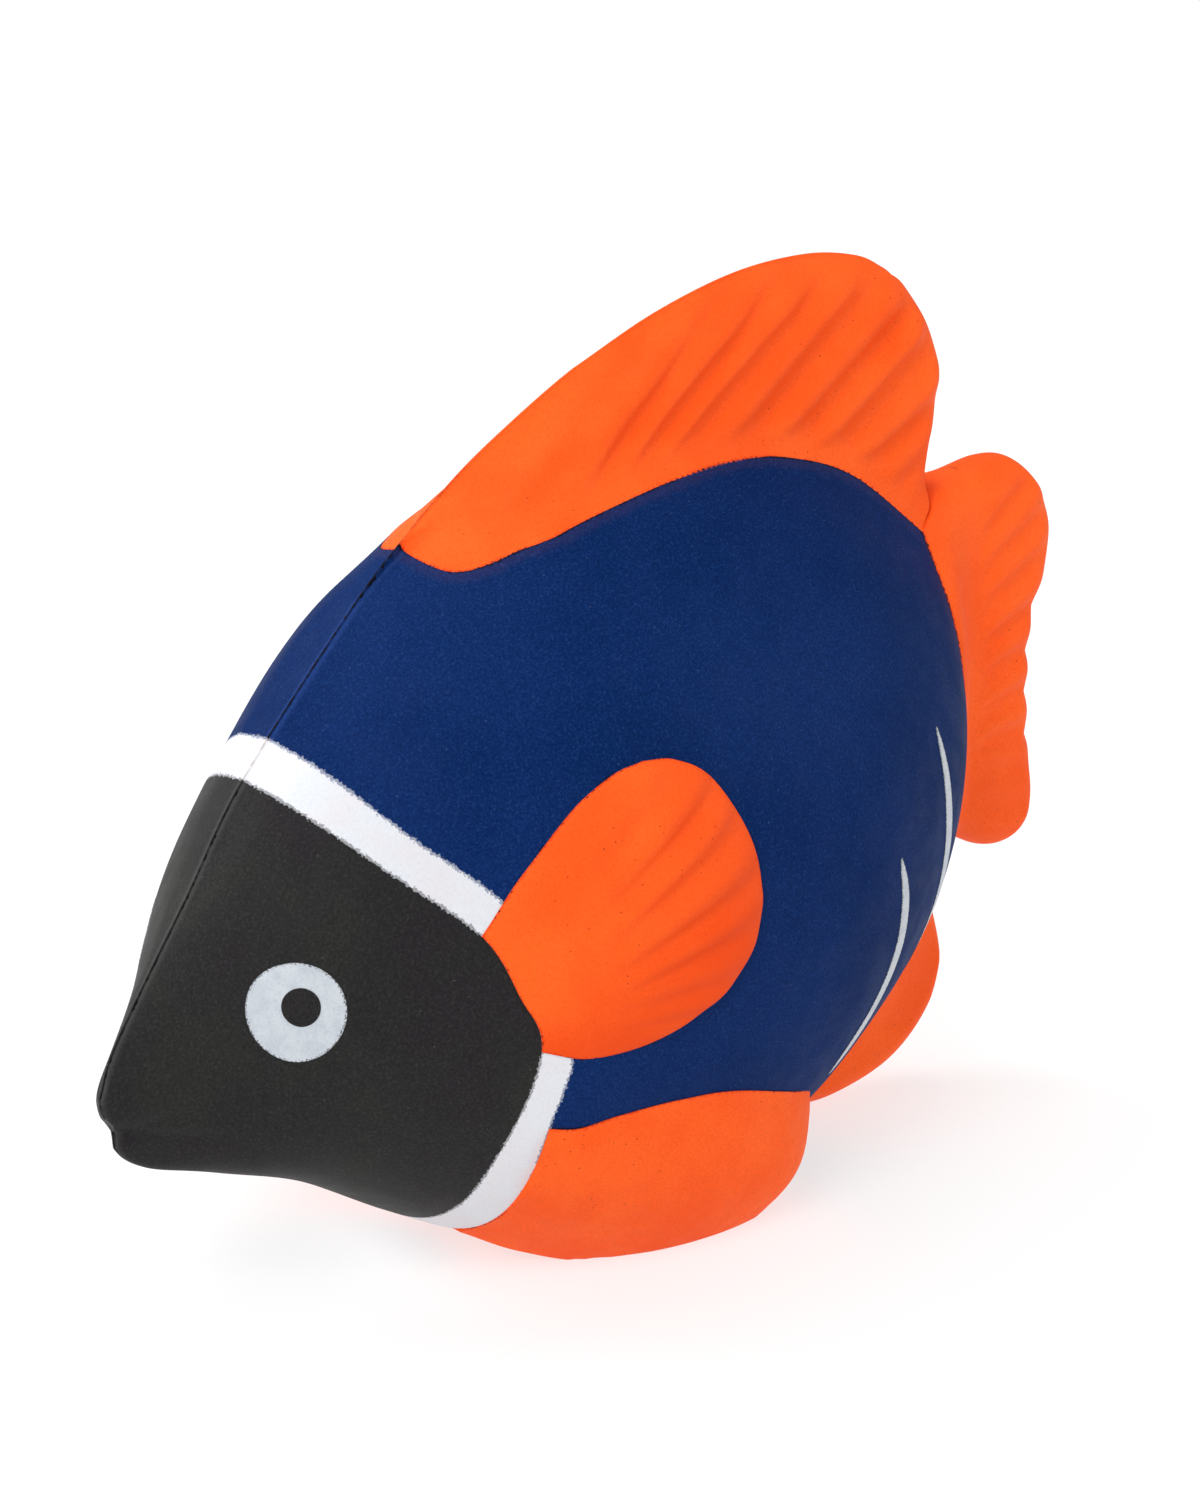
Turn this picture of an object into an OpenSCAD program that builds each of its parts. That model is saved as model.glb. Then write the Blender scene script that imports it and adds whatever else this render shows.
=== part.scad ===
// Tropical fish squeeze toy: a soft foam moulding in painted sections, with flexing fins.
// The head points along -X, the left flank along -Y, and the floor is the plane Z = 0.

/* [Body] */
// Length from the snout to the root of the tail
body_l = 86; // [70:1:105]
// Height of the back above the floor
body_h = 64; // [52:1:78]
// Width across the flanks
body_w = 45; // [36:1:54]
// Width of the flat land along the mould seam
seam_w = 0.4; // [0.3:0.1:0.8]
// Depth of the crease between the lips
mouth_d = 0.6; // [0.3:0.1:1.2]

/* [Dorsal fin] */
// Height of the blade above its flexing root
dorsal_h = 12.4; // [8:0.2:16]
// Thickness of the blade at its root
dorsal_t = 6.4; // [5:0.2:8]
// Number of flutes along the blade
dorsal_flutes = 9; // [6:1:12]

/* [Tail fin] */
// Length from the root to the tip
tail_l = 15; // [13:0.2:20]
// Length of the flexing root
tail_root_l = 4; // [3:0.5:6]
// Height over both lobes
tail_h = 36.4; // [30:0.2:42]
// Height of the lower lobe above the floor
tail_z = 19; // [16:0.5:21]
// Thickness at the root
tail_t = 7; // [5:0.2:9]
// Number of scallops on the rear edge
tail_scallops = 4; // [3:1:6]

/* [Lower fins] */
// Thickness of the anal fin
anal_t = 7; // [5:0.2:9]
// Height of the anal fin's tip above the floor
anal_z = 0.5; // [0.4:0.1:2]
// Width over both pelvic fins at the floor
foot_w = 32; // [26:0.2:36]
// Gap between the pelvic fins under the belly
foot_gap = 1.6; // [1:0.2:4]
// Step of the pelvic fins above the flank
pelvic_t = 0.5; // [0.4:0.1:1]

/* [Pectoral fins] */
// Height of the relief above the flank
pectoral_t = 1.2; // [0.9:0.1:2]
// Number of ribs in the fan
pectoral_ribs = 6; // [4:1:8]

/* [Flutes] */
// Depth of the flutes and ribs on the fins
flute_d = 0.4; // [0.1:0.05:0.5]

/* [Paint] */
// Diameter of the white of the eye
eye_d = 7.7; // [6:0.1:9]
// Diameter of the pupil
pupil_d = 3; // [2:0.1:4]
// Width of the streaks on the rear flank
streak_w = 1.7; // [1:0.1:2]
// Thickness of a printed coat
paint_t = 0.3; // [0.2:0.05:0.5]

/* [Fits] */
// Gap at the flexing roots
flex_gap = 0.1; // [0.05:0.05:0.3]
// Gap between a coat and the skin under it
paint_gap = 0.1; // [0.05:0.05:0.2]
// Gap between a pressed fin and the flank under it
pad_gap = 0.3; // [0.2:0.05:0.5]

/* [Hidden] */

orange = [0.95, 0.33, 0.12];
blue = [0.09, 0.19, 0.37];
black = [0.19, 0.18, 0.19];
white = [0.87, 0.88, 0.89];

x_snout = -(body_l + tail_l) / 2;
x_root = x_snout + body_l;
x_tip = x_root + tail_l;
land = seam_w / 2;

// Side profiles in shares of the body: along it from the snout, and up it from the floor
seam_line = [
  [0, 0.325], [0.02, 0.39], [0.1, 0.55], [0.165, 0.68], [0.29, 0.862],
  [0.43, 0.975], [0.57, 1], [0.74, 0.96], [0.86, 0.89], [1, 0.755]
];
// The same back, rising into the front edge of the dorsal fin
crest_line = [
  [0, 0.325], [0.02, 0.39], [0.1, 0.55], [0.165, 0.68], [0.29, 0.862], [0.344, 0.928], [0.393, 0.981]
];
belly_line = [
  [0, 0.32], [0.013, 0.255], [0.043, 0.22], [0.1, 0.2], [0.18, 0.165], [0.275, 0.091], [0.35, 0.042],
  [0.44, 0.02], [0.55, 0.015], [0.67, 0.035], [0.79, 0.11], [0.89, 0.2], [1, 0.365]
];
// Half width of the body in shares of its greatest
width_line = [
  [0, 0], [0.005, 0.036], [0.02, 0.07], [0.065, 0.215], [0.135, 0.474], [0.228, 0.698], [0.344, 0.935],
  [0.472, 1], [0.6, 0.993], [0.728, 0.911], [0.844, 0.742], [0.937, 0.53], [1, 0.245]
];
// Height of the widest point between belly and back
centre_line = [[0, 0.39], [0.25, 0.38], [0.6, 0.42], [1, 0.5]];
// Fullness of the back, from a round forehead to a drawn-up ridge under the dorsal fin
crown_line = [[0, 0.63], [0.33, 0.63], [0.46, 0.89], [1, 0.89]];
belly_power = 0.37;
// Share of the dorsal fin's thickness that the ridge of the back carries
ridge_line = [[0, 0], [0.34, 0], [0.45, 1], [1, 1]];
// Steepness of the skin beside the crest, from the head to the thin front of the dorsal fin
slope_line = [[0, 2.5], [0.34, 2.5], [0.42, 0.9], [1, 0.9]];
crest_swell = 3.84 / body_h;
// Rounding between the back and the ridge
fillet_r = 2.6;

// Paint lines in the same shares
band_front = [
  [0.285, 0.1], [0.293, 0.219], [0.318, 0.371], [0.302, 0.443],
  [0.2775, 0.5205], [0.22, 0.598], [0.165, 0.682]
];
band_rear = [
  [0.328, 0.06], [0.33, 0.25], [0.346, 0.36], [0.336, 0.46],
  [0.297, 0.5605], [0.242, 0.6375], [0.1935, 0.722]
];
// The stretch of the front line that the pectoral fin's root follows
root_span = [2 / 6, 4 / 6];
dorsal_line = [
  [0.345, 0.93], [0.353, 0.911], [0.372, 0.906], [0.42, 0.924], [0.5, 0.95],
  [0.6, 0.967], [0.69, 0.97], [0.77, 0.954], [0.86, 0.907], [0.951, 0.806]
];
anal_line = [[0.765, 0.088], [0.82, 0.155], [0.9, 0.245], [0.965, 0.33]];
pelvic_line = [
  [0.331, 0.263], [0.36, 0.256], [0.4, 0.261], [0.471, 0.257], [0.55, 0.238], [0.68, 0.171]
];
pelvic_front = [[0.325, 0.068], [0.327, 0.17], [0.331, 0.263]];

// Numbers of steps in the grids
rows = 18;
seam_steps = 6;
dorsal_steps = 22;
belly_steps = 18;
anal_steps = 8;
link_steps = 2;
head_steps = 14;
band_steps = 3;
root_rows = 5;
blade_steps = 48;
blade_rows = 10;
tail_root_steps = 3;
tail_steps = 7;
tail_rows = 40;
anal_rows = 6;
pelvic_steps = 14;
pelvic_rows = 8;
pectoral_steps = 10;
pectoral_rows = 24;
eye_steps = 6;
pupil_steps = 4;
streak_steps = 10;
table_steps = 160;

function lerp(a, b, t) = a + (b - a) * t;
function unit(t) = min(1, max(0, t));
function even(n) = [for (i = [0:n]) i / n];
function eased(n) = [for (i = [0:n]) (1 - cos(180 * i / n)) / 2];
// A point of the body from its shares
function at(p) = [x_snout + p.x * body_l, p.y * body_h];
function along(line) = [for (p = line) at(p)];
function scaled(line, k) = [for (p = line) [x_snout + p.x * body_l, p.y * k]];

// A smooth curve through the points p, at t from 0 to 1
function curve(p, t) =
  let (
    n = len(p) - 1,
    i = min(n - 1, floor(t * n)),
    u = t * n - i,
    a = i > 0 ? p[i - 1] : 2 * p[0] - p[1],
    b = p[i],
    c = p[i + 1],
    d = i + 2 <= n ? p[i + 2] : 2 * p[n] - p[n - 1]
  )
  0.5 * (2 * b + (c - a) * u + (2 * a - 5 * b + 4 * c - d) * u ^ 2 + (3 * b - a - 3 * c + d) * u ^ 3);
function path(p, ts) = [for (t = ts) curve(p, t)];

// Lookup tables along X
fine = even(table_steps);
back_of = path(along(seam_line), fine);
// A point of the dorsal fin from shares of the body's length and of the blade's height
function on_fin(p) = [x_snout + p.x * body_l, body_h + p.y * dorsal_h];
// The top of the blade, up to its highest point and down to its rear tip
blade_rise = [[0.45, 0.165], [0.55, 0.54], [0.65, 0.8], [0.75, 0.97], [0.84, 1]];
blade_fall = [[0.905, 0.93], [0.949, 0.77]];
crest_of = path([each along(crest_line), for (p = [each blade_rise, [1.1, 1]]) on_fin(p)], fine);
belly_of = path(along(belly_line), fine);
width_of = path(scaled(width_line, body_w / 2), fine);
centre_of = scaled(centre_line, 1);
crown_of = scaled(crown_line, 1);
ridge_of = scaled(ridge_line, 1);
slope_of = scaled(slope_line, 1);

mouth_z = 0.281 * body_h;
mouth_start = x_snout + 0.02 * body_l;
mouth_end = x_snout + 0.085 * body_l;
mouth_l = 0.06 * body_l;
mouth_r = 0.9;
mouth_rise = 0.42;

// The crease between the lips, rising and fading back along the cheek
function mouth(x, z) =
  let (h = z - mouth_z - mouth_rise * max(0, x - mouth_start))
  mouth_d * unit((mouth_end - x) / mouth_l) * exp(-(h / mouth_r) ^ 2);

// Half width of the body at a point of the side view
function half_width(x, z) =
  let (
    top = lookup(x, back_of),
    low = lookup(x, belly_of),
    mid = lerp(low, top, lookup(x, centre_of)),
    upper = z > mid,
    ridge = lookup(x, ridge_of),
    depth = top - z,
    soft = (depth + sqrt(depth ^ 2 + (fillet_r * ridge) ^ 2)) / 2,
    u = unit(upper ? 1 - soft / (top - mid) : (mid - z) / (mid - low)),
    swell = pow(1 - u * u, upper ? lookup(x, crown_of) : belly_power),
    ridge_w = upper ? ridge * dorsal_t / 2 : 0,
    flank = lookup(x, width_of) * swell + ridge_w * (1 - swell) - mouth(x, z),
    below = max(0, lookup(x, crest_of) - z),
    crest = lookup(x, slope_of) * below + crest_swell * below ^ 2
  )
  max(land, upper ? min(flank, crest) : flank);

// A round edge that falls to nothing as t runs from r to 0
function edge(t, r) = sqrt(max(0, 1 - (1 - unit(t / r)) ^ 2));

// A grid in the side view between four border curves: below, above, in front and behind
function patch(b, t, f, r, ss, vs) =
  let (n = len(ss) - 1)
  [
    for (i = [0:n])
      [
        for (j = [0:len(vs) - 1])
          let (s = ss[i], v = vs[j])
          lerp(f[j], r[j], s) + lerp(b[i], t[i], v)
          - lerp(lerp(b[0], b[n], s), lerp(t[0], t[n], s), v)
      ]
  ];

// The grid lifted to one side, by a grid of depths
function lifted(g, depth) =
  [for (i = [0:len(g) - 1]) [for (j = [0:len(g[0]) - 1]) [g[i][j].x, -depth[i][j], g[i][j].y]]];

// A closed solid between two like grids, the first on the left
module skin(a, b) {
  n = len(a) - 1;
  m = len(a[0]) - 1;
  side = (n + 1) * (m + 1);
  function id(i, j, k) = k * side + i * (m + 1) + j;
  function quad(p, q, r, s) = [[p, q, r], [p, r, s]];
  faces = [
    for (i = [0:n - 1], j = [0:m - 1])
      each quad(id(i, j, 0), id(i, j + 1, 0), id(i + 1, j + 1, 0), id(i + 1, j, 0)),
    for (i = [0:n - 1], j = [0:m - 1])
      each quad(id(i, j, 1), id(i + 1, j, 1), id(i + 1, j + 1, 1), id(i, j + 1, 1)),
    for (i = [0:n - 1])
      each quad(id(i, 0, 0), id(i + 1, 0, 0), id(i + 1, 0, 1), id(i, 0, 1)),
    for (i = [0:n - 1])
      each quad(id(i + 1, m, 0), id(i, m, 0), id(i, m, 1), id(i + 1, m, 1)),
    for (j = [0:m - 1])
      each quad(id(0, j + 1, 0), id(0, j, 0), id(0, j, 1), id(0, j + 1, 1)),
    for (j = [0:m - 1])
      each quad(id(n, j, 0), id(n, j + 1, 0), id(n, j + 1, 1), id(n, j, 1))
  ];
  polyhedron(points = [for (g = [a, b], row = g) each row], faces = faces);
}

// A section across both flanks
module section(g, depth) {
  skin(lifted(g, depth), lifted(g, -depth));
}

// Depths of a section that has the body's own half width
function body_depths(g) = [for (row = g) [for (p = row) half_width(p.x, p.y)]];

module right_side() {
  mirror([0, 1, 0]) children();
}

// Borders that two sections share
function on_seam(s) = [x_snout + s * body_l, lookup(x_snout + s * body_l, crest_of)];
function on_belly(s) = [x_snout + s * body_l, lookup(x_snout + s * body_l, belly_of)];
function seam_between(s0, s1, ts) = [for (t = ts) on_seam(lerp(s0, s1, t))];
function belly_between(s0, s1, ts) = [for (t = ts) on_belly(lerp(s0, s1, t))];
// A paint line from belly to back, with its ends on the outline
function ring(line) =
  let (n = len(line) - 1)
  [on_belly(line[0].x), for (i = [1:n - 1]) at(line[i]), on_seam(line[n].x)];

up = eased(rows);
front_ring = path(ring(band_front), up);
rear_ring = path(ring(band_rear), up);
band_top = [band_front[len(band_front) - 1].x, band_rear[len(band_rear) - 1].x];
band_low = [band_front[0].x, band_rear[0].x];

tip = on_seam(dorsal_line[0].x);
dorsal_border = path([tip, for (i = [1:len(dorsal_line) - 1]) at(dorsal_line[i])], even(dorsal_steps));
anal_root = path([on_belly(anal_line[0].x), for (i = [1:3]) at(anal_line[i])], even(anal_steps));
tail_low = at([1, 0.375]);
tail_top = dorsal_border[dorsal_steps];
tail_border = [for (v = up) lerp(tail_low, tail_top, v)];

module body() {
  top = concat(
    seam_between(band_top[1], dorsal_line[0].x, [for (t = even(seam_steps)) if (t < 1) t]),
    dorsal_border
  );
  low = concat(
    belly_between(band_low[1], anal_line[0].x, [for (t = even(belly_steps)) if (t < 1) t]),
    anal_root,
    [for (i = [1:link_steps]) lerp(anal_root[anal_steps], tail_low, i / link_steps)]
  );
  g = patch(low, top, rear_ring, tail_border, even(len(top) - 1), up);
  color(blue) section(g, body_depths(g));
}

lip_top = at(seam_line[0]);
lip_line = [[0.0115, 0.275], [0.009, 0.287], [0.001, 0.304]];

module head() {
  ss = [for (t = even(head_steps)) t ^ 1.5];
  top = seam_between(0, band_top[0], ss);
  low = belly_between(belly_line[1].x, band_low[0], ss);
  lips = path([low[0], each along(lip_line), lip_top], up);
  g = patch(low, concat([lip_top], [for (i = [1:head_steps]) top[i]]), lips, front_ring, ss, up);
  color(black) section(g, body_depths(g));
}

module white_band() {
  ss = even(band_steps);
  g = patch(
    belly_between(band_low[0], band_low[1], ss), seam_between(band_top[0], band_top[1], ss),
    front_ring, rear_ring, ss, up
  );
  color(white) section(g, body_depths(g));
}

// The line about which the dorsal fin bends
flex_z = body_h;
flex_share = 0.418;
flex_front = x_snout + flex_share * body_l;
flex_rear = x_snout + 1.006 * body_l;
edge_r = 3;
// Distance over which the paint line's flush border turns into the free fin
border_r = 6;
blade_tip_share = 0.72;

// Rear edge of the fin, below and above the line about which it bends
root_rear = [tail_top, at([0.994, 0.895]), [flex_rear, flex_z]];
blade_rear = [[flex_rear, flex_z], for (p = [[1.008, 0.11], [0.989, 0.41], blade_fall[1]]) on_fin(p)];
blade_top = [for (p = [each blade_rise, each blade_fall]) on_fin(p)];
fin_rear = concat(
  path(root_rear, even(blade_rows)), path(blade_rear, even(blade_rows)),
  path([for (p = [blade_fall[1], blade_fall[0], blade_rise[4]]) on_fin(p)], even(blade_rows))
);

// Distance from a point to a line of points
function from_leg(p, a, b) =
  let (d = b - a, t = d * d > 0 ? unit((p - a) * d / (d * d)) : 0)
  norm(p - a - t * d);
function from_line(p, line) = min([for (i = [1:len(line) - 1]) from_leg(p, line[i - 1], line[i])]);

// Round ribs with a narrow valley at each whole turn, about a mean of nothing
function flute(turn, fade) = flute_d * (abs(sin(180 * turn)) - 0.64) * fade;

// The flutes fan out from a level line near the back
fan_at = at([0.486, 0.969]);
fan_lean = 0.7;
fan_spread = 3.2 / body_h;
fan_r = 0.233 * body_l;
fan_share = 1.475;
flute_start = at([0.42, 0]).x;
flute_l = 0.14 * body_l;
function fan(p) =
  let (h = p.y - fan_at.y, foot = (p.x - fan_at.x - fan_lean * h) / max(0.2, 1 + fan_spread * h))
  dorsal_flutes / fan_share * ln(max(0.05, 1 + foot / fan_r));

// Half thickness of the dorsal fin: flush at the paint line, thin in front and round behind
function fin_depth(p) =
  let (
    rise = from_line(p, dorsal_border),
    rim = lerp(1, edge(from_line(p, fin_rear), edge_r), unit(rise / border_r)),
    taper = lerp(1, blade_tip_share, unit((p.y - flex_z) / dorsal_h)),
    crest = unit((lookup(p.x, crest_of) - p.y) / edge_r),
    fade = unit(rise / border_r) * crest * unit((p.x - flute_start) / flute_l)
  )
  max(land, (half_width(p.x, p.y) * taper + flute(fan(p), fade)) * rim);
function fin_depths(g) = [for (row = g) [for (p = row) fin_depth(p)]];

module dorsal_fin_root() {
  vs = even(root_rows);
  // Shares that keep the columns upright between the paint line and the bending line
  run = tail_top.x - tip.x;
  ss = [for (p = dorsal_border) (p.x - tip.x) / run];
  top = [for (s = ss) [lerp(flex_front, flex_rear, s), flex_z - flex_gap]];
  crest = seam_between(dorsal_line[0].x, flex_share, vs);
  front = [for (j = [0:root_rows]) j < root_rows ? crest[j] : top[0]];
  rear_line = path(root_rear, vs);
  rear = [for (j = [0:root_rows]) j < root_rows ? rear_line[j] : top[dorsal_steps]];
  g = patch(dorsal_border, top, front, rear, ss, vs);
  color(orange) section(g, fin_depths(g));
}

module dorsal_fin() {
  ss = even(blade_steps);
  vs = even(blade_rows);
  low = [for (s = ss) [lerp(flex_front, flex_rear, s), flex_z + flex_gap]];
  crest = seam_between(flex_share, blade_rise[1].x, vs);
  front = [for (j = [0:blade_rows]) j > 0 ? crest[j] : low[0]];
  rear_line = path(blade_rear, vs);
  rear = [for (j = [0:blade_rows]) j > 0 ? rear_line[j] : low[blade_steps]];
  top_line = [for (i = [1:len(blade_top) - 1]) blade_top[i]];
  g = patch(low, path(top_line, ss), front, rear, ss, vs);
  color(orange) section(g, fin_depths(g));
}

x_flex = x_root + tail_root_l;
tail_neck = [tail_z + 0.068 * tail_h, tail_z + 0.99 * tail_h];
tail_edge_r = 3.5;
// Half thickness of the tail across its height
function tail_rim(v) = edge(v * tail_h, tail_edge_r) * edge((1 - v) * tail_h, tail_edge_r);

module tail_root() {
  ss = even(tail_root_steps);
  x1 = x_flex - flex_gap;
  low_end = [x1, tail_neck[0]];
  top_end = [x1, tail_neck[1]];
  low_bend = [lerp(tail_low.x, x1, 0.5), lerp(tail_low.y, low_end.y, 0.6)];
  top_bend = [lerp(tail_top.x, x1, 0.32), lerp(tail_top.y, top_end.y, 0.8)];
  low = path([tail_low, low_bend, low_end], ss);
  top = path([tail_top, top_bend, top_end], ss);
  rear = [for (v = up) [x1, lerp(tail_neck[0], tail_neck[1], v)]];
  g = patch(low, top, tail_border, rear, ss, up);
  depth = [
    for (s = ss)
      [
        for (j = [0:rows])
          let (p = tail_border[j])
          max(land, lerp(half_width(p.x, p.y), tail_t / 2 * tail_rim(up[j]), s))
      ]
  ];
  color(orange) section(g, depth);
}

// Outline of the tail blade in shares of its length behind the flexing line and of its height
tail_top_edge = [[0, 0.99], [0.32, 1.003], [0.58, 0.985], [0.81, 0.907]];
tail_low_edge = [[0, 0.068], [0.32, 0.018], [0.58, 0.01], [0.8, 0.05]];
tail_rear_edge = [
  [0.8, 0.05], [0.876, 0.13], [0.812, 0.28], [0.786, 0.44], [0.812, 0.58],
  [0.95, 0.69], [1, 0.79], [0.918, 0.865], [0.81, 0.907]
];
scallop_d = 0.45;
scallop_span = [0.157, 0.585];
tail_tip_share = 0.7;
tail_flute_share = 0.4;
// Height of the flutes' fan at the root in shares of that at the rear edge
tail_fan = 0.75;

module tail_fin() {
  ss = even(tail_steps);
  vs = even(tail_rows);
  x0 = x_flex + flex_gap;
  blade_l = x_tip - x0;
  function place(line) = [for (p = line) [x0 + p.x * blade_l, tail_z + p.y * tail_h]];
  front = [for (v = vs) [x0, lerp(tail_neck[0], tail_neck[1], v)]];
  // Turns of the scallops by a height in shares of the tail's
  function turn(h) = tail_scallops * (h - scallop_span[0]) / (scallop_span[1] - scallop_span[0]);
  function scallop(h) =
    h > scallop_span[0] && h < scallop_span[1] ? scallop_d * (1 - abs(sin(180 * turn(h)))) : 0;
  edge_line = place(tail_rear_edge);
  rear = [for (v = vs) let (p = curve(edge_line, v)) p - [scallop((p.y - tail_z) / tail_h), 0]];
  g = patch(path(place(tail_low_edge), ss), path(place(tail_top_edge), ss), front, rear, ss, vs);
  depth = [
    for (i = [0:tail_steps])
      [
        for (j = [0:tail_rows])
          let (
            s = ss[i],
            v = vs[j],
            taper = lerp(1, tail_tip_share, s) * tail_t / 2,
            h = 0.5 + ((g[i][j].y - tail_z) / tail_h - 0.5) / lerp(tail_fan, 1, s),
            rim = tail_rim(v) * edge((1 - s) * blade_l, tail_edge_r)
          )
          max(land, (taper + flute(turn(h), tail_flute_share * s)) * rim)
      ]
  ];
  color(orange) section(g, depth);
}

anal_front = at([0.807, 0.012]);
anal_rear = at([1.017, 0.163]);
anal_edge_r = 3;
anal_end = 1;

module anal_fin() {
  ss = even(anal_steps);
  vs = even(anal_rows);
  anal_tip = [at([0.875, 0]).x, anal_z];
  low = path([anal_front, anal_tip, at([0.953, 0.033]), at([1.003, 0.091]), anal_rear], ss);
  front = path([anal_front, at([0.785, 0.06]), anal_root[0]], vs);
  rear = path([anal_rear, at([1, 0.25]), anal_root[anal_steps]], vs);
  g = patch(low, anal_root, front, rear, ss, vs);
  span = norm(anal_rear - anal_front);
  function ends(s) =
    edge(s * span + anal_end, anal_edge_r) * edge((1 - s) * span + anal_end, anal_edge_r);
  depth = [
    for (i = [0:anal_steps])
      let (base = half_width(anal_root[i].x, anal_root[i].y), reach = norm(anal_root[i] - low[i]))
      [
        for (v = vs)
          max(land, lerp(anal_t / 2, base, v ^ 3) * edge(v * reach, anal_edge_r) * ends(ss[i]))
      ]
  ];
  color(orange) section(g, depth);
}

// The pelvic fin lies on the lower flank and reaches the floor, where it is cut flat
foot_cut = 0.5;
foot_front = at(pelvic_front[0]);
foot_rear = [x_snout + 0.675 * body_l, -foot_cut];
// Half width of the foot, in shares of its greatest, along the body
foot_line = [
  [0.3, 0.53], [0.38, 0.63], [0.45, 0.75], [0.51, 0.885], [0.57, 0.94], [0.63, 0.92], [0.675, 0.81]
];
foot_of = path(scaled(foot_line, foot_w / 2), fine);
foot_power = 2.2;
belly_clear = 2.2;
fin_edge_r = 4;
fin_end = 0.4;

module pelvic_fin() {
  ss = even(pelvic_steps);
  vs = even(pelvic_rows);
  top = path(along(pelvic_line), ss);
  heel = at([0.46, 0]) - [0, foot_cut];
  low = path([foot_front, at([0.385, 0.024]), heel, lerp(heel, foot_rear, 0.5), foot_rear], ss);
  front = path(along(pelvic_front), vs);
  rear = path([foot_rear, at([0.696, 0.06]), top[pelvic_steps]], vs);
  g = patch(low, top, front, rear, ss, vs);
  fin_l = norm(foot_rear - foot_front);
  // The inner face keeps clear of the belly's turn, which is sharpest below
  function inner(p, v) =
    max(foot_gap / 2, half_width(p.x, p.y + belly_clear * (1 - v)) + pad_gap);
  under = [for (row = g) [for (j = [0:pelvic_rows]) inner(row[j], vs[j])]];
  outer = [
    for (i = [0:pelvic_steps])
      let (
        line = half_width(top[i].x, top[i].y) + pad_gap + pelvic_t,
        foot = lookup(low[i].x, foot_of)
      )
      [
        for (j = [0:pelvic_rows])
          max(under[i][j] + pelvic_t, lerp(line, foot, (1 - vs[j]) ^ foot_power))
      ]
  ];
  // Both faces close on the middle of the fin towards its free rear edge
  function closed(face) =
    [
      for (i = [0:pelvic_steps])
        let (k = edge((1 - ss[i]) * fin_l + fin_end, fin_edge_r))
        [for (j = [0:pelvic_rows]) lerp((under[i][j] + outer[i][j]) / 2, face[i][j], k)]
    ];
  difference() {
    skin(lifted(g, closed(outer)), lifted(g, closed(under)));
    translate([x_snout, -body_w, -body_h]) cube([body_l + tail_l, 2 * body_w, body_h]);
  }
}

module pelvic_fin_left() {
  color(orange) pelvic_fin();
}

module pelvic_fin_right() {
  color(orange) right_side() pelvic_fin();
}

// Outline of the pectoral fin in shares of the body: upper edge, round rear end and lower edge
pectoral_top = [[0.317, 0.588], [0.371, 0.651], [0.42, 0.684], [0.455, 0.693]];
pectoral_end = [
  [0.485, 0.379], [0.519, 0.404], [0.549, 0.454], [0.559, 0.514],
  [0.552, 0.582], [0.522, 0.658], [0.488, 0.687], [0.455, 0.693]
];
pectoral_low = [[0.359, 0.354], [0.414, 0.353], [0.457, 0.364], [0.485, 0.379]];
rim_t = 0.4;
rim_share = 0.2;
// A valley of the ribs passes this point; their slope and pitch
rib_at = at([0.474, 0.433]);
rib_slope = 0.52;
rib_pitch = 0.34 * body_h / pectoral_ribs;

module pectoral_fin() {
  ss = even(pectoral_steps);
  vs = even(pectoral_rows);
  function root_at(v) = curve(ring(band_front), lerp(root_span[0], root_span[1], v)) + [pad_gap, 0];
  root = [for (v = vs) root_at(v)];
  low = path([root_at(0), each along(pectoral_low)], ss);
  top = path([root_at(1), each along(pectoral_top)], ss);
  g = patch(low, top, root, path(along(pectoral_end), vs), ss, vs);
  under = [for (row = g) [for (p = row) half_width(p.x, p.y) + pad_gap]];
  outer = [
    for (i = [0:pectoral_steps])
      [
        for (j = [0:pectoral_rows])
          let (
            s = ss[i],
            v = vs[j],
            p = g[i][j] - rib_at,
            rim = edge(v, rim_share) * edge(1 - v, rim_share) * edge(1 - s, rim_share),
            rise = lerp(rim_t, pectoral_t, rim * lerp(0.35, 1, unit(2 * s))),
            turn = (p.y - rib_slope * p.x) / rib_pitch
          )
          under[i][j] + rise + flute(turn, rim * unit(2 * s - 0.5))
      ]
  ];
  skin(lifted(g, outer), lifted(g, under));
}

module pectoral_fin_left() {
  color(orange) pectoral_fin();
}

module pectoral_fin_right() {
  color(orange) right_side() pectoral_fin();
}

// A printed coat that follows the skin, lifted by the coats under it
module coat(g, lift) {
  under = [for (row = g) [for (p = row) half_width(p.x, p.y) + lift]];
  outer = [for (row = under) [for (y = row) y + paint_t]];
  skin(lifted(g, outer), lifted(g, under));
}

// A round grid in the plane that touches the skin at its centre
function disc(c, d, n) =
  let (
    slope_x = (half_width(c.x + 1, c.y) - half_width(c.x - 1, c.y)) / 2,
    slope_z = (half_width(c.x, c.y + 1) - half_width(c.x, c.y - 1)) / 2,
    ahead = [1, slope_x, 0] / norm([1, slope_x, 0]),
    rise = [0, slope_z, 1],
    flat = rise - ahead * (rise * ahead),
    above = flat / norm(flat)
  )
  [
    for (i = [0:n])
      [
        for (j = [0:n])
          let (
            a = 2 * i / n - 1,
            b = 2 * j / n - 1,
            q = d / 2 * (ahead * a * sqrt(1 - b * b / 2) + above * b * sqrt(1 - a * a / 2))
          )
          c + [q.x, q.z]
      ]
  ];

stroke_tip = 0.15;
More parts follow.
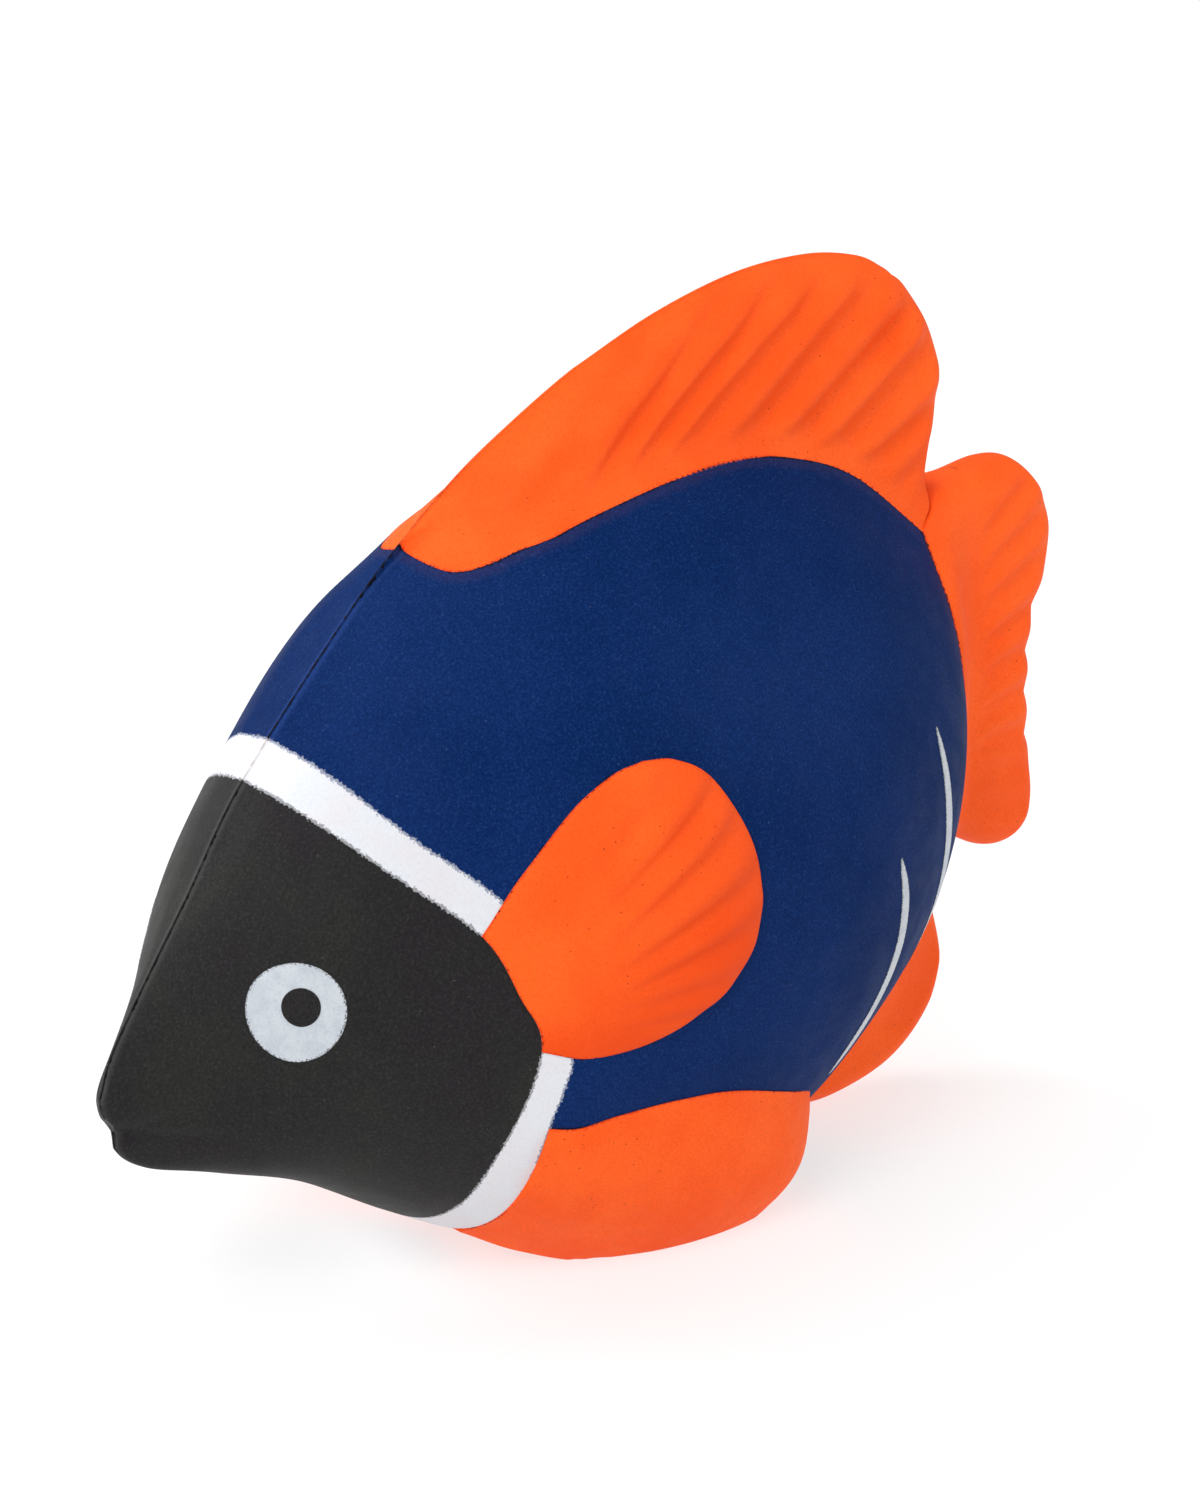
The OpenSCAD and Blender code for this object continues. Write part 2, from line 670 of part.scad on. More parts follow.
// A tapered stroke along a curve
function stroke(line, w, n) =
  [
    for (i = [0:n])
      let (
        t = i / n,
        p = curve(line, t),
        d = curve(line, min(1, t + 0.01)) - curve(line, max(0, t - 0.01)),
        side = [d.y, -d.x] / norm(d),
        r = max(stroke_tip, w / 2 * edge(t, 0.7) * edge(1 - t, 0.3))
      )
      [p + side * r, p, p - side * r]
  ];

eye_at = at([0.1362, 0.4365]);
pupil_at = at([0.138, 0.444]);
front_streak_line = [[0.767, 0.472], [0.783, 0.403], [0.785, 0.328], [0.762, 0.255], [0.71, 0.18]];
rear_streak_line = [[0.854, 0.608], [0.873, 0.51], [0.886, 0.425], [0.886, 0.345], [0.86, 0.25]];

module eye() {
  color(white) coat(disc(eye_at, eye_d, eye_steps), paint_gap);
}

module pupil() {
  color(black) coat(disc(pupil_at, pupil_d, pupil_steps), 2 * paint_gap + paint_t);
}

module front_streak() {
  color(white) coat(stroke(along(front_streak_line), streak_w, streak_steps), paint_gap);
}

module rear_streak() {
  color(white) coat(stroke(along(rear_streak_line), streak_w, streak_steps), paint_gap);
}

module eye_left() {
  eye();
}

module eye_right() {
  right_side() eye();
}

module pupil_left() {
  pupil();
}

module pupil_right() {
  right_side() pupil();
}

module front_streak_left() {
  front_streak();
}

module front_streak_right() {
  right_side() front_streak();
}

module rear_streak_left() {
  rear_streak();
}

module rear_streak_right() {
  right_side() rear_streak();
}

body();
head();
white_band();
dorsal_fin_root();
dorsal_fin();
tail_root();
tail_fin();
anal_fin();
pelvic_fin_left();
pelvic_fin_right();
pectoral_fin_left();
pectoral_fin_right();
eye_left();
eye_right();
pupil_left();
pupil_right();
front_streak_left();
front_streak_right();
rear_streak_left();
rear_streak_right();
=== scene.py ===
"""Looks of the tropical fish squeeze toy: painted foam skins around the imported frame.

Lengths are in millimetres and become metres where a mesh, lamp or camera is made.
The head points along -X and the left flank along -Y, as in the frame.
"""

import math

import bpy
import numpy as np
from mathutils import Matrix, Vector


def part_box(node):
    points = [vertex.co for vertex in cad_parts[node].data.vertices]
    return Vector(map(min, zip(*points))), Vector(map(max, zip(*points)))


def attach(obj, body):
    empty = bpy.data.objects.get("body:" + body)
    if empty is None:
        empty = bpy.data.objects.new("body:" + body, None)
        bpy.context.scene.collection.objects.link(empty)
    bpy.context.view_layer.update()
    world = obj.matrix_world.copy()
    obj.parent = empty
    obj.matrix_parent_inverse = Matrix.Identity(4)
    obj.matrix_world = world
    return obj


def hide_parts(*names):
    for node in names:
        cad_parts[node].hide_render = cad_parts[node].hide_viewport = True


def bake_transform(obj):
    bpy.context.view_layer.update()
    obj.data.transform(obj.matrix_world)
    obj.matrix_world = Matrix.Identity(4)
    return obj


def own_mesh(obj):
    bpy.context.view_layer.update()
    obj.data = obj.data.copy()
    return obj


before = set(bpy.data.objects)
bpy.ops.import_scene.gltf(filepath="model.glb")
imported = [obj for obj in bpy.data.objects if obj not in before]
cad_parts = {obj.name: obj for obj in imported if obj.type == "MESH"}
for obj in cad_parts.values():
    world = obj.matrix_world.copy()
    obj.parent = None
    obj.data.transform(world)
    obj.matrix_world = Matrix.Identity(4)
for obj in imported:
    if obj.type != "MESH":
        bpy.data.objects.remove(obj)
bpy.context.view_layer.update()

MM = 0.001

# Sizes that the frame gives, with the gap that it leaves at the bending lines
FLEX_GAP = 0.1
X_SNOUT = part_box("head")[0].x / MM
X_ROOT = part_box("body")[1].x / MM
X_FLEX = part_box("tail_root")[1].x / MM + FLEX_GAP
BODY_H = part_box("dorsal_fin_root")[1].z / MM + FLEX_GAP
BODY_L = X_ROOT - X_SNOUT

# Sizes of the foam body and its fins
BODY_W = 45
SEAM_LAND = 0.12
HARD_FROM = 3 * SEAM_LAND
FILLET_R = 2.6
DORSAL_T = 6.4
TAIL_L = 15
TAIL_H = 36.4
TAIL_Z = 19
TAIL_T = 7
ANAL_T = 7
ANAL_Z = 0.5
FOOT_W = 32
FOOT_CUT = 0.5
PECTORAL_T = 1.1
EYE_D = 7.7
PUPIL_D = 3
STREAK_W = 1.7
COAT_T = 0.06
SINK = 0.6

# Side profiles in shares of the body: along it from the snout, and up it from the floor
SEAM_LINE = [
    (0, 0.325), (0.02, 0.39), (0.1, 0.55), (0.165, 0.68), (0.29, 0.862),
    (0.43, 0.975), (0.57, 1), (0.74, 0.96), (0.86, 0.89), (1, 0.755),
]
# The same back, rising into the front edge of the dorsal fin
CREST_LINE = [
    (0, 0.325), (0.02, 0.39), (0.1, 0.55), (0.165, 0.68), (0.29, 0.862), (0.344, 0.928), (0.393, 0.981),
    (0.45, 1.032), (0.55, 1.104), (0.65, 1.155), (0.75, 1.187), (0.84, 1.193), (1.1, 1.193),
]
BELLY_LINE = [
    (0, 0.32), (0.013, 0.255), (0.043, 0.22), (0.1, 0.2), (0.18, 0.165), (0.275, 0.091),
    (0.35, 0.042), (0.44, 0.02), (0.55, 0.015), (0.67, 0.035), (0.79, 0.11), (0.89, 0.2), (1, 0.365),
]
# Half width of the body in shares of its greatest
WIDTH_LINE = [
    (0, 0), (0.005, 0.036), (0.02, 0.07), (0.065, 0.215), (0.135, 0.474), (0.228, 0.698), (0.344, 0.935),
    (0.472, 1), (0.6, 0.993), (0.728, 0.911), (0.844, 0.742), (0.937, 0.53), (1, 0.245),
]
# Height of the widest point between belly and back
CENTRE_LINE = [(0, 0.39), (0.25, 0.38), (0.6, 0.42), (1, 0.5)]
# Fullness of the back: a round forehead before the first share, a drawn-up ridge after the second
CROWN = (0.63, 0.89)
CROWN_SPAN = (0.31, 0.48)
BELLY_POWER = 0.37
RIDGE_SPAN = (0.34, 0.46)

# Paint lines in the same shares
BAND_FRONT = [
    (0.285, 0.1), (0.293, 0.219), (0.318, 0.371), (0.302, 0.443),
    (0.2775, 0.5205), (0.22, 0.598), (0.165, 0.682),
]
BAND_REAR = [
    (0.328, 0.06), (0.33, 0.25), (0.346, 0.36), (0.336, 0.46),
    (0.297, 0.5605), (0.242, 0.6375), (0.1935, 0.722),
]
ROOT_SPAN = (2 / 6, 4 / 6)
DORSAL_LINE = [
    (0.345, 0.93), (0.353, 0.911), (0.372, 0.906), (0.42, 0.924), (0.5, 0.95),
    (0.6, 0.967), (0.69, 0.97), (0.77, 0.954), (0.86, 0.907), (0.956, 0.806),
]
ANAL_LINE = [(0.765, 0.088), (0.82, 0.155), (0.9, 0.245), (0.965, 0.33)]
PELVIC_LINE = [(0.331, 0.263), (0.36, 0.256), (0.4, 0.261), (0.471, 0.257), (0.55, 0.238), (0.68, 0.171)]
PELVIC_FRONT = [(0.325, 0.068), (0.327, 0.17), (0.331, 0.263)]
TAIL_LOW = (1, 0.375)
TAIL_TOP = DORSAL_LINE[-1]

# Outlines of the fins
ROOT_REAR = [(0.956, 0.806), (0.978, 0.845), (0.992, 0.9), (1.006, 1)]
BLADE_TOP = [
    (0.55, 1.104), (0.65, 1.155), (0.75, 1.187), (0.84, 1.193),
    (0.905, 1.179), (0.938, 1.158), (0.949, 1.147),
]
BLADE_REAR = [(1.006, 1), (1.004, 1.03), (0.989, 1.083), (0.962, 1.133), (0.949, 1.147)]
TAIL_TOP_EDGE = [(0, 0.99), (0.32, 1.003), (0.58, 0.985), (0.81, 0.907)]
TAIL_LOW_EDGE = [(0, 0.068), (0.32, 0.018), (0.58, 0.01), (0.8, 0.05)]
TAIL_REAR_EDGE = [
    (0.8, 0.05), (0.876, 0.13), (0.812, 0.28), (0.786, 0.44), (0.812, 0.58),
    (0.95, 0.69), (1, 0.79), (0.918, 0.865), (0.81, 0.907),
]
TAIL_NECK = (TAIL_Z + TAIL_LOW_EDGE[0][1] * TAIL_H, TAIL_Z + TAIL_TOP_EDGE[0][1] * TAIL_H)
ANAL_EDGE = [(0.807, 0.012), (0.875, 0), (0.953, 0.033), (1.003, 0.091), (1.017, 0.163)]
FOOT_LINE = [
    (0.3, 0.53), (0.38, 0.63), (0.45, 0.75), (0.51, 0.885), (0.57, 0.94), (0.63, 0.92), (0.675, 0.81),
]
PECTORAL_TOP = [(0.317, 0.588), (0.371, 0.651), (0.42, 0.684), (0.455, 0.693)]
PECTORAL_END = [
    (0.485, 0.379), (0.519, 0.404), (0.549, 0.454), (0.559, 0.514),
    (0.552, 0.582), (0.522, 0.658), (0.488, 0.687), (0.455, 0.693),
]
PECTORAL_LOW = [(0.359, 0.354), (0.414, 0.353), (0.457, 0.364), (0.485, 0.379)]
EYE_AT = (0.1362, 0.4365)
PUPIL_AT = (0.138, 0.444)
FRONT_STREAK = [(0.767, 0.472), (0.783, 0.403), (0.785, 0.328), (0.762, 0.255), (0.71, 0.18)]
REAR_STREAK = [(0.854, 0.608), (0.873, 0.51), (0.886, 0.425), (0.886, 0.345), (0.86, 0.25)]

# Steps of the lines and grids
TABLE_STEPS = 600
LINE_STEPS = 160
EDGE_STEPS = 300
ROWS = 96
SEAM_STEPS = 30
DORSAL_STEPS = 110
BELLY_STEPS = 90
ANAL_STEPS = 40
LINK_STEPS = 10
HEAD_STEPS = 72
HEAD_CROWDING = 1.5
BAND_STEPS = 12
ROOT_ROWS = 44
BLADE_ROWS = 84
TAIL_ROOT_STEPS = 14
TAIL_STEPS = 48
TAIL_ROWS = 240
ANAL_ROWS = 36
PELVIC_STEPS = 90
PELVIC_ROWS = 56
PECTORAL_STEPS = 70
PECTORAL_ROWS = 110
EYE_STEPS = 40
PUPIL_STEPS = 24
STREAK_STEPS = (60, 8)
CREST_STEPS = 500
# Points that are measured at a time, and parts that a grid is measured in
BLOCK = 2000
GRID_PARTS = 60


# Curves and grids in the side view

def lerp(a, b, t):
    return a + (b - a) * t


def unit(t):
    return np.clip(t, 0, 1)


def smooth(t):
    t = unit(t)
    return t * t * (3 - 2 * t)


def even(n):
    return np.linspace(0, 1, n + 1)


def eased(n):
    return (1 - np.cos(np.pi * even(n))) / 2


def at(shares):
    """Points of the side view, from shares of the body."""
    return np.array([X_SNOUT, 0]) + np.asarray(shares, float) * [BODY_L, BODY_H]


def curve(points, ts):
    """A smooth curve through the points, at ts from 0 to 1."""
    p = np.asarray(points, float)
    p = np.vstack([2 * p[0] - p[1], p, 2 * p[-1] - p[-2]])
    n = len(p) - 3
    ts = np.atleast_1d(ts)
    i = np.minimum((ts * n).astype(int), n - 1)
    u = (ts * n - i)[:, None]
    a, b, c, d = p[i], p[i + 1], p[i + 2], p[i + 3]
    return 0.5 * (
        2 * b + (c - a) * u + (2 * a - 5 * b + 4 * c - d) * u ** 2 + (3 * b - a - 3 * c + d) * u ** 3
    )


def table(points):
    """A line of shares as a function of X, sampled finely."""
    line = curve(points, even(TABLE_STEPS))
    return lambda x: np.interp((x - X_SNOUT) / BODY_L, line[:, 0], line[:, 1])


back_share = table(SEAM_LINE)
belly_share = table(BELLY_LINE)
width_share = table(WIDTH_LINE)
centre_share = table(CENTRE_LINE)
crest_share = table(CREST_LINE)


def back_z(x):
    return BODY_H * back_share(x)


def belly_z(x):
    return BODY_H * belly_share(x)


def crest_z(x):
    return BODY_H * crest_share(x)


def span(x, limits):
    """A smooth step from 0 to 1 between two shares of the body's length."""
    return smooth(((x - X_SNOUT) / BODY_L - limits[0]) / (limits[1] - limits[0]))


def ridge_share(x):
    """How far the dorsal fin has grown out of the back, from 0 to 1."""
    return span(x, RIDGE_SPAN)


MOUTH_Z = 0.281
MOUTH_FRONT = 0.02
MOUTH_RISE = 36
MOUTH_END = 0.085
MOUTH_L = 0.06
MOUTH_D = 0.5
MOUTH_R = 0.8
LIP_D = 0.3
LIP_R = 2.4
JAW_BACK = 1
JAW_SOFT = 1.2
JAW_SPAN = (0.02, 0.1)


def jaw(z):
    """How far the lower jaw is set back from the snout."""
    return JAW_BACK * smooth((BODY_H * MOUTH_Z - z) / JAW_SOFT + 0.5)


def mouth(x, z):
    """Depth of the crease between the lips, and the swell of the upper lip."""
    s = (x - X_SNOUT) / BODY_L
    fade = smooth((MOUTH_END - s) / MOUTH_L)
    h = z - BODY_H * MOUTH_Z - MOUTH_RISE * np.maximum(0, s - MOUTH_FRONT)
    return fade * (MOUTH_D * np.exp(-(h / MOUTH_R) ** 2) - LIP_D * np.exp(-((h - LIP_R) / LIP_R) ** 2))


# Slope of the foam beside the crest, and the rounding there, on the head and on the dorsal fin
CREST_SLOPES = (2.5, 0.9)
CREST_SOFTS = (0.25, 1.2)
CREST_SPAN = (0.33, 0.43)
CREST_SWELL = 0.06
LEAST_FILLET = 1e-6


def soft_min(a, b, k):
    h = unit(0.5 + 0.5 * (b - a) / k)
    return lerp(b, a, h) - k * h * (1 - h)


def half_width(x, z):
    """Half width of the foam at a point of the side view, with the dorsal fin's ridge filleted in."""
    top = back_z(x)
    low = belly_z(x)
    mid = lerp(low, top, centre_share(x))
    ridge = ridge_share(x)
    crown = lerp(*CROWN, span(x, CROWN_SPAN))
    width = BODY_W / 2 * width_share(x - jaw(z) * (1 - span(x, JAW_SPAN)))
    fillet = FILLET_R * ridge + LEAST_FILLET
    depth = top - z
    depth = np.where(ridge > 0, (depth + np.sqrt(depth ** 2 + fillet ** 2)) / 2, depth)
    upper = z > mid
    u = np.where(upper, 1 - depth / (top - mid), (mid - z) / (mid - low))
    swell = np.power(1 - unit(u) ** 2, np.where(upper, crown, BELLY_POWER))
    ridge_w = np.where(upper, ridge * DORSAL_T / 2, 0)
    flank = width * swell + ridge_w * (1 - swell) - mouth(x, z)
    fin = span(x, CREST_SPAN)
    below = np.maximum(0, crest_z(x) - z)
    crest = lerp(*CREST_SLOPES, fin) * below + CREST_SWELL * below ** 2
    crested = soft_min(flank, crest, lerp(*CREST_SOFTS, fin))
    return np.maximum(SEAM_LAND, np.where(upper, crested, flank))


def edge(t, r):
    """A round edge that falls to nothing as t runs from r to 0."""
    return np.sqrt(np.maximum(0, 1 - (1 - unit(t / r)) ** 2))


def patch(low, top, front, rear, ss, vs):
    """A grid between four border curves."""
    s = ss[:, None, None]
    v = vs[None, :, None]
    corners = lerp(lerp(low[0], low[-1], s), lerp(top[0], top[-1], s), v)
    return lerp(front[None], rear[None], s) + lerp(low[:, None], top[:, None], v) - corners


# Meshes

def along_body(grid):
    return half_width(grid[..., 0], grid[..., 1])


def lifted(grid, y):
    return np.stack([grid[..., 0], y, grid[..., 1]], axis=-1)


def distances(points, lines):
    """Distance of each point to the nearest of some lines, with both flanks taken as one."""
    ends = np.vstack(lines)
    mirrored = points * [1, -1, 1]
    flank = np.where(points[:, 1:2] > 0, mirrored, points)
    found = np.empty(len(points))
    for i in range(0, len(points), BLOCK):
        block = flank[i:i + BLOCK, None] - ends[None]
        found[i:i + BLOCK] = np.sqrt((block ** 2).sum(-1).min(1))
    return found


def solid(name, left, right, rims, sharp):
    """A closed mesh between two like grids. Sharp says which border points have a hard edge."""
    n, m = left.shape[:2]
    side = n * m
    ids = np.arange(2 * side).reshape(2, n, m)
    a, b = ids

    def quads(p, q, r, s):
        return np.stack([p, q, r, s], axis=-1).reshape(-1, 4)

    walls = [
        quads(a[:-1, 0], a[1:, 0], b[1:, 0], b[:-1, 0]),
        quads(a[1:, -1], a[:-1, -1], b[:-1, -1], b[1:, -1]),
        quads(a[0, 1:], a[0, :-1], b[0, :-1], b[0, 1:]),
        quads(a[-1, :-1], a[-1, 1:], b[-1, 1:], b[-1, :-1]),
    ]
    faces = np.vstack([
        quads(a[:-1, :-1], a[:-1, 1:], a[1:, 1:], a[1:, :-1]),
        quads(b[:-1, :-1], b[1:, :-1], b[1:, 1:], b[:-1, 1:]),
        *walls,
    ])
    points = np.vstack([left.reshape(-1, 3), right.reshape(-1, 3)])
    mesh = bpy.data.meshes.new(name)
    mesh.from_pydata((points * MM).tolist(), [], faces.tolist())
    mesh.validate()
    mesh.shade_smooth()
    mark_sharp(mesh, ids, sharp)
    store(mesh, "rest", "FLOAT_VECTOR", points)
    for rim, lines in rims.items():
        store(mesh, rim, "FLOAT", distances(points, lines))
    obj = bpy.data.objects.new(name, mesh)
    bpy.context.scene.collection.objects.link(obj)
    return obj


def mark_sharp(mesh, ids, sharp):
    """Hard edges along the border of both grids, where both ends of an edge are marked."""
    flags = np.zeros(ids.size, bool)
    for grid in ids:
        for border in (np.s_[0, :], np.s_[-1, :], np.s_[:, 0], np.s_[:, -1]):
            flags[grid[border]] |= sharp[border]
    ends = np.empty(2 * len(mesh.edges), int)
    mesh.edges.foreach_get("vertices", ends)
    ends = ends.reshape(-1, 2)
    same_side = (ends[:, 0] < ids[1, 0, 0]) == (ends[:, 1] < ids[1, 0, 0])
    inside = np.zeros(ids.size, bool)
    inside[ids[:, 1:-1, 1:-1]] = True
    hard = flags[ends].all(1) & same_side & ~inside[ends].any(1)
    mark = mesh.attributes.new("sharp_edge", "BOOLEAN", "EDGE")
    mark.data.foreach_set("value", hard)


def store(mesh, name, kind, values):
    attribute = mesh.attributes.new(name, kind, "POINT")
    field = "vector" if kind == "FLOAT_VECTOR" else "value"
    attribute.data.foreach_set(field, np.asarray(values, np.float32).ravel())


def section(name, grid, depth, rims):
    """A piece across both flanks, with soft edges only along the mould seam."""
    return solid(name, lifted(grid, -depth), lifted(grid, depth), rims, depth > HARD_FROM)


def plate(name, grid, outer, under, rims, side):
    """A piece on one flank: side is -1 on the left and 1 on the right."""
    sharp = np.ones(grid.shape[:2], bool)
    faces = [lifted(grid, side * outer), lifted(grid, side * under)]
    if side > 0:
        faces.reverse()
    return solid(name, *faces, rims, sharp)


def on_flank(line):
    """A line of the side view laid on the left flank."""
    return np.stack([line[:, 0], -half_width(line[:, 0], line[:, 1]), line[:, 1]], axis=-1)


# Borders that two pieces share

def on_seam(share):
    x = X_SNOUT + np.asarray(share, float) * BODY_L
    return np.stack([x, crest_z(x)], axis=-1)


def on_belly(share):
    x = X_SNOUT + np.asarray(share, float) * BODY_L
    return np.stack([x, belly_z(x)], axis=-1)


def ring(line):
    """Points of a paint line from belly to back, with its ends on the outline."""
    inner = at(line[1:-1])
    return np.vstack([on_belly(line[0][0]), inner, on_seam(line[-1][0])])


up = eased(ROWS)
front_ring = curve(ring(BAND_FRONT), up)
rear_ring = curve(ring(BAND_REAR), up)
dorsal_tip = on_seam(DORSAL_LINE[0][0])
dorsal_border = curve(np.vstack([dorsal_tip, at(DORSAL_LINE[1:])]), even(DORSAL_STEPS))
anal_root = curve(np.vstack([on_belly(ANAL_LINE[0][0]), at(ANAL_LINE[1:])]), even(ANAL_STEPS))
tail_low = at(TAIL_LOW)
tail_top = at(TAIL_TOP)
tail_border = lerp(tail_low, tail_top, up[:, None])


def pectoral_root(vs):
    return curve(ring(BAND_FRONT), lerp(*ROOT_SPAN, vs))


def pectoral_border(ss, vs):
    """The four borders of a pectoral fin: low, top, root and rear end."""
    root = pectoral_root(vs)
    low = curve(np.vstack([root[0], at(PECTORAL_LOW)]), ss)
    top = curve(np.vstack([root[-1], at(PECTORAL_TOP)]), ss)
    return low, top, root, curve(at(PECTORAL_END), vs)


fine = even(LINE_STEPS)
pectoral_lines = [on_flank(line) for line in pectoral_border(fine, fine)]
pelvic_top = curve(at(PELVIC_LINE), fine)
pelvic_front = curve(at(PELVIC_FRONT), fine)
pelvic_lines = [on_flank(pelvic_top), on_flank(pelvic_front)]
dorsal_lines = [on_flank(dorsal_border)]
anal_lines = [on_flank(anal_root)]
tail_lines = [on_flank(tail_border)]
front_lines = [on_flank(front_ring)]
rear_lines = [on_flank(rear_ring)]


# Pieces of the trunk

def make_body():
    nape = on_seam(lerp(BAND_REAR[-1][0], DORSAL_LINE[0][0], even(SEAM_STEPS)[:-1]))
    top = np.vstack([nape, dorsal_border])
    links = lerp(anal_root[-1], tail_low, even(LINK_STEPS)[1:, None])
    belly = on_belly(lerp(BAND_REAR[0][0], ANAL_LINE[0][0], even(BELLY_STEPS)[:-1]))
    low = np.vstack([belly, anal_root, links])
    grid = patch(low, top, rear_ring, tail_border, even(len(top) - 1), up)
    orange = dorsal_lines + anal_lines + tail_lines + pelvic_lines + pectoral_lines
    rims = {"rim_a": orange, "rim_b": rear_lines, "rim_c": dorsal_lines + tail_lines}
    return section("body_skin", grid, along_body(grid), rims)


LIPS = [(0.0115, 0.275), (0.009, 0.287), (0.001, 0.304)]


def make_head():
    ss = even(HEAD_STEPS) ** HEAD_CROWDING
    top = on_seam(BAND_FRONT[-1][0] * ss)
    low = on_belly(lerp(BELLY_LINE[1][0], BAND_FRONT[0][0], ss))
    top[0] = at(SEAM_LINE[0])
    lips = curve(np.vstack([low[0], at(LIPS), top[0]]), up)
    grid = patch(low, top, lips, front_ring, ss, up)
    return section("head_skin", grid, along_body(grid), {"rim_a": front_lines, "rim_b": pectoral_lines})


def make_band():
    ss = even(BAND_STEPS)
    low = on_belly(lerp(BAND_FRONT[0][0], BAND_REAR[0][0], ss))
    top = on_seam(lerp(BAND_FRONT[-1][0], BAND_REAR[-1][0], ss))
    grid = patch(low, top, front_ring, rear_ring, ss, up)
    return section("white_band_skin", grid, along_body(grid), {"rim_a": front_lines, "rim_b": rear_lines})


# The dorsal fin, in a root that stays and a blade beyond the bending line

FLEX_Z = BODY_H
FLEX_SPAN = (0.36, 0.5)
rising = X_SNOUT + BODY_L * np.linspace(*FLEX_SPAN, CREST_STEPS)
FLEX_FRONT = float(np.interp(FLEX_Z, crest_z(rising), rising))
FLEX_REAR = at(ROOT_REAR[-1])[0]
FIN_EDGE_R = 3
FIN_TIP_SHARE = 0.72
FIN_TIP_H = 12
FLUTE_D = 0.95
# Strength of the painted shade in the flute valleys
FLUTE_PAINTED_SHADE = 0.24
FLUTE_FROM = 0.8
# Lengths over which the flutes grow in from the paint line, the crest and the rear edge
FLUTE_RUNS = (2.6, 3, 3.5)
# The rear edge becomes round from a little below the tail's top, over a length
FREE_BELOW = 2
FREE_RUN = 4
# Flutes by the share of the body where each crosses the bending line, its lean and its strength
DORSAL_FLUTES = [
    (0.43, 1.1, 0), (0.48, 1.25, 0.45), (0.537, 1.41, 0.8), (0.585, 1.52, 0.8),
    (0.637, 1.61, 0.8), (0.721, 1.49, 1), (0.808, 1.58, 1.1), (0.891, 1.56, 1.15),
    (1.01, 2.11, 1), (1.085, 1.82, 0.7), (1.16, 1.8, 0),
]
FLUTE_LEAST = 0.2


def flute_phase(across, along, lines):
    """Count of the flute lines passed, where each line has a place across and a lean."""
    phase = np.zeros(np.shape(across))
    for (a, lean_a, _), (b, lean_b, _) in zip(lines, lines[1:]):
        start = a + lean_a * along
        phase += unit((across - start) / np.maximum(FLUTE_LEAST, b + lean_b * along - start))
    return phase


def flutes(across, along, lines):
    """A fluted relief that falls fastest at each line, and a painted shade, strongest there, that darkens
    the flute valleys.
    """
    phase = flute_phase(across, along, lines)
    strength = np.interp(phase, range(len(lines)), [line[2] for line in lines])
    return -strength * np.sin(2 * np.pi * phase), strength * (0.5 + 0.5 * np.cos(2 * np.pi * phase))


def shade(piece, painted_shade):
    """Keep a painted shade on a piece, the same on both faces."""
    store(piece.data, "painted_shade", "FLOAT", np.concatenate([painted_shade.ravel(), painted_shade.ravel()]))
    return piece


def side_reach(grid, line):
    """Distance of grid points to a line of the side view."""
    blocks = np.array_split(grid.reshape(-1, 2), GRID_PARTS)
    near = [np.sqrt(((block[:, None] - line[None]) ** 2).sum(-1).min(1)) for block in blocks]
    return np.concatenate(near).reshape(grid.shape[:2])


dorsal_fan = [(X_SNOUT + share * BODY_L, lean, strength) for share, lean, strength in DORSAL_FLUTES]
top_edge = curve(at(BLADE_TOP), even(EDGE_STEPS))
apex = int(np.argmax(top_edge[:, 1]))
fin_rear = np.vstack([curve(at(ROOT_REAR), fine), curve(at(BLADE_REAR), fine), top_edge[:apex - 1:-1]])


def dorsal_relief(grid):
    """Half thickness of the dorsal fin, fluted and round at its free edge, and the painted shade of its
    flute valleys.
    """
    x = grid[..., 0]
    z = grid[..., 1]
    rise = side_reach(grid, dorsal_border)
    inset = side_reach(grid, fin_rear)
    from_paint, from_crest, from_rear = FLUTE_RUNS
    fade = smooth((rise - FLUTE_FROM) / from_paint)
    fade = fade * smooth((crest_z(x) - z) / from_crest) * smooth(inset / from_rear)
    free = smooth((z - TAIL_NECK[1] + FREE_BELOW) / FREE_RUN)
    taper = lerp(1, FIN_TIP_SHARE, smooth((z - FLEX_Z) / FIN_TIP_H))
    relief, painted_shade = flutes(x, z - FLEX_Z, dorsal_fan)
    thick = along_body(grid) * taper + FLUTE_D / 2 * relief * fade
    return np.maximum(SEAM_LAND, thick * lerp(1, edge(inset, FIN_EDGE_R), free)), FLUTE_PAINTED_SHADE * painted_shade * fade


def halved(line):
    """The line with a point added in the middle of each step."""
    both = np.empty((2 * len(line) - 1, 2))
    both[::2] = line
    both[1::2] = (line[1:] + line[:-1]) / 2
    return both


fin_border = halved(dorsal_border)
fin_shares = (fin_border[:, 0] - fin_border[0, 0]) / (fin_border[-1, 0] - fin_border[0, 0])


def make_dorsal_root():
    vs = eased(ROOT_ROWS)
    ss = fin_shares
    top = np.stack([lerp(FLEX_FRONT, FLEX_REAR, ss), np.full(len(ss), FLEX_Z)], axis=-1)
    front = on_seam(lerp(DORSAL_LINE[0][0], (FLEX_FRONT - X_SNOUT) / BODY_L, vs))
    front[-1] = top[0]
    grid = patch(fin_border, top, front, curve(at(ROOT_REAR), vs), ss, vs)
    depth, painted_shade = dorsal_relief(grid)
    return shade(section("dorsal_fin_root_skin", grid, depth, {"rim_a": dorsal_lines}), painted_shade)


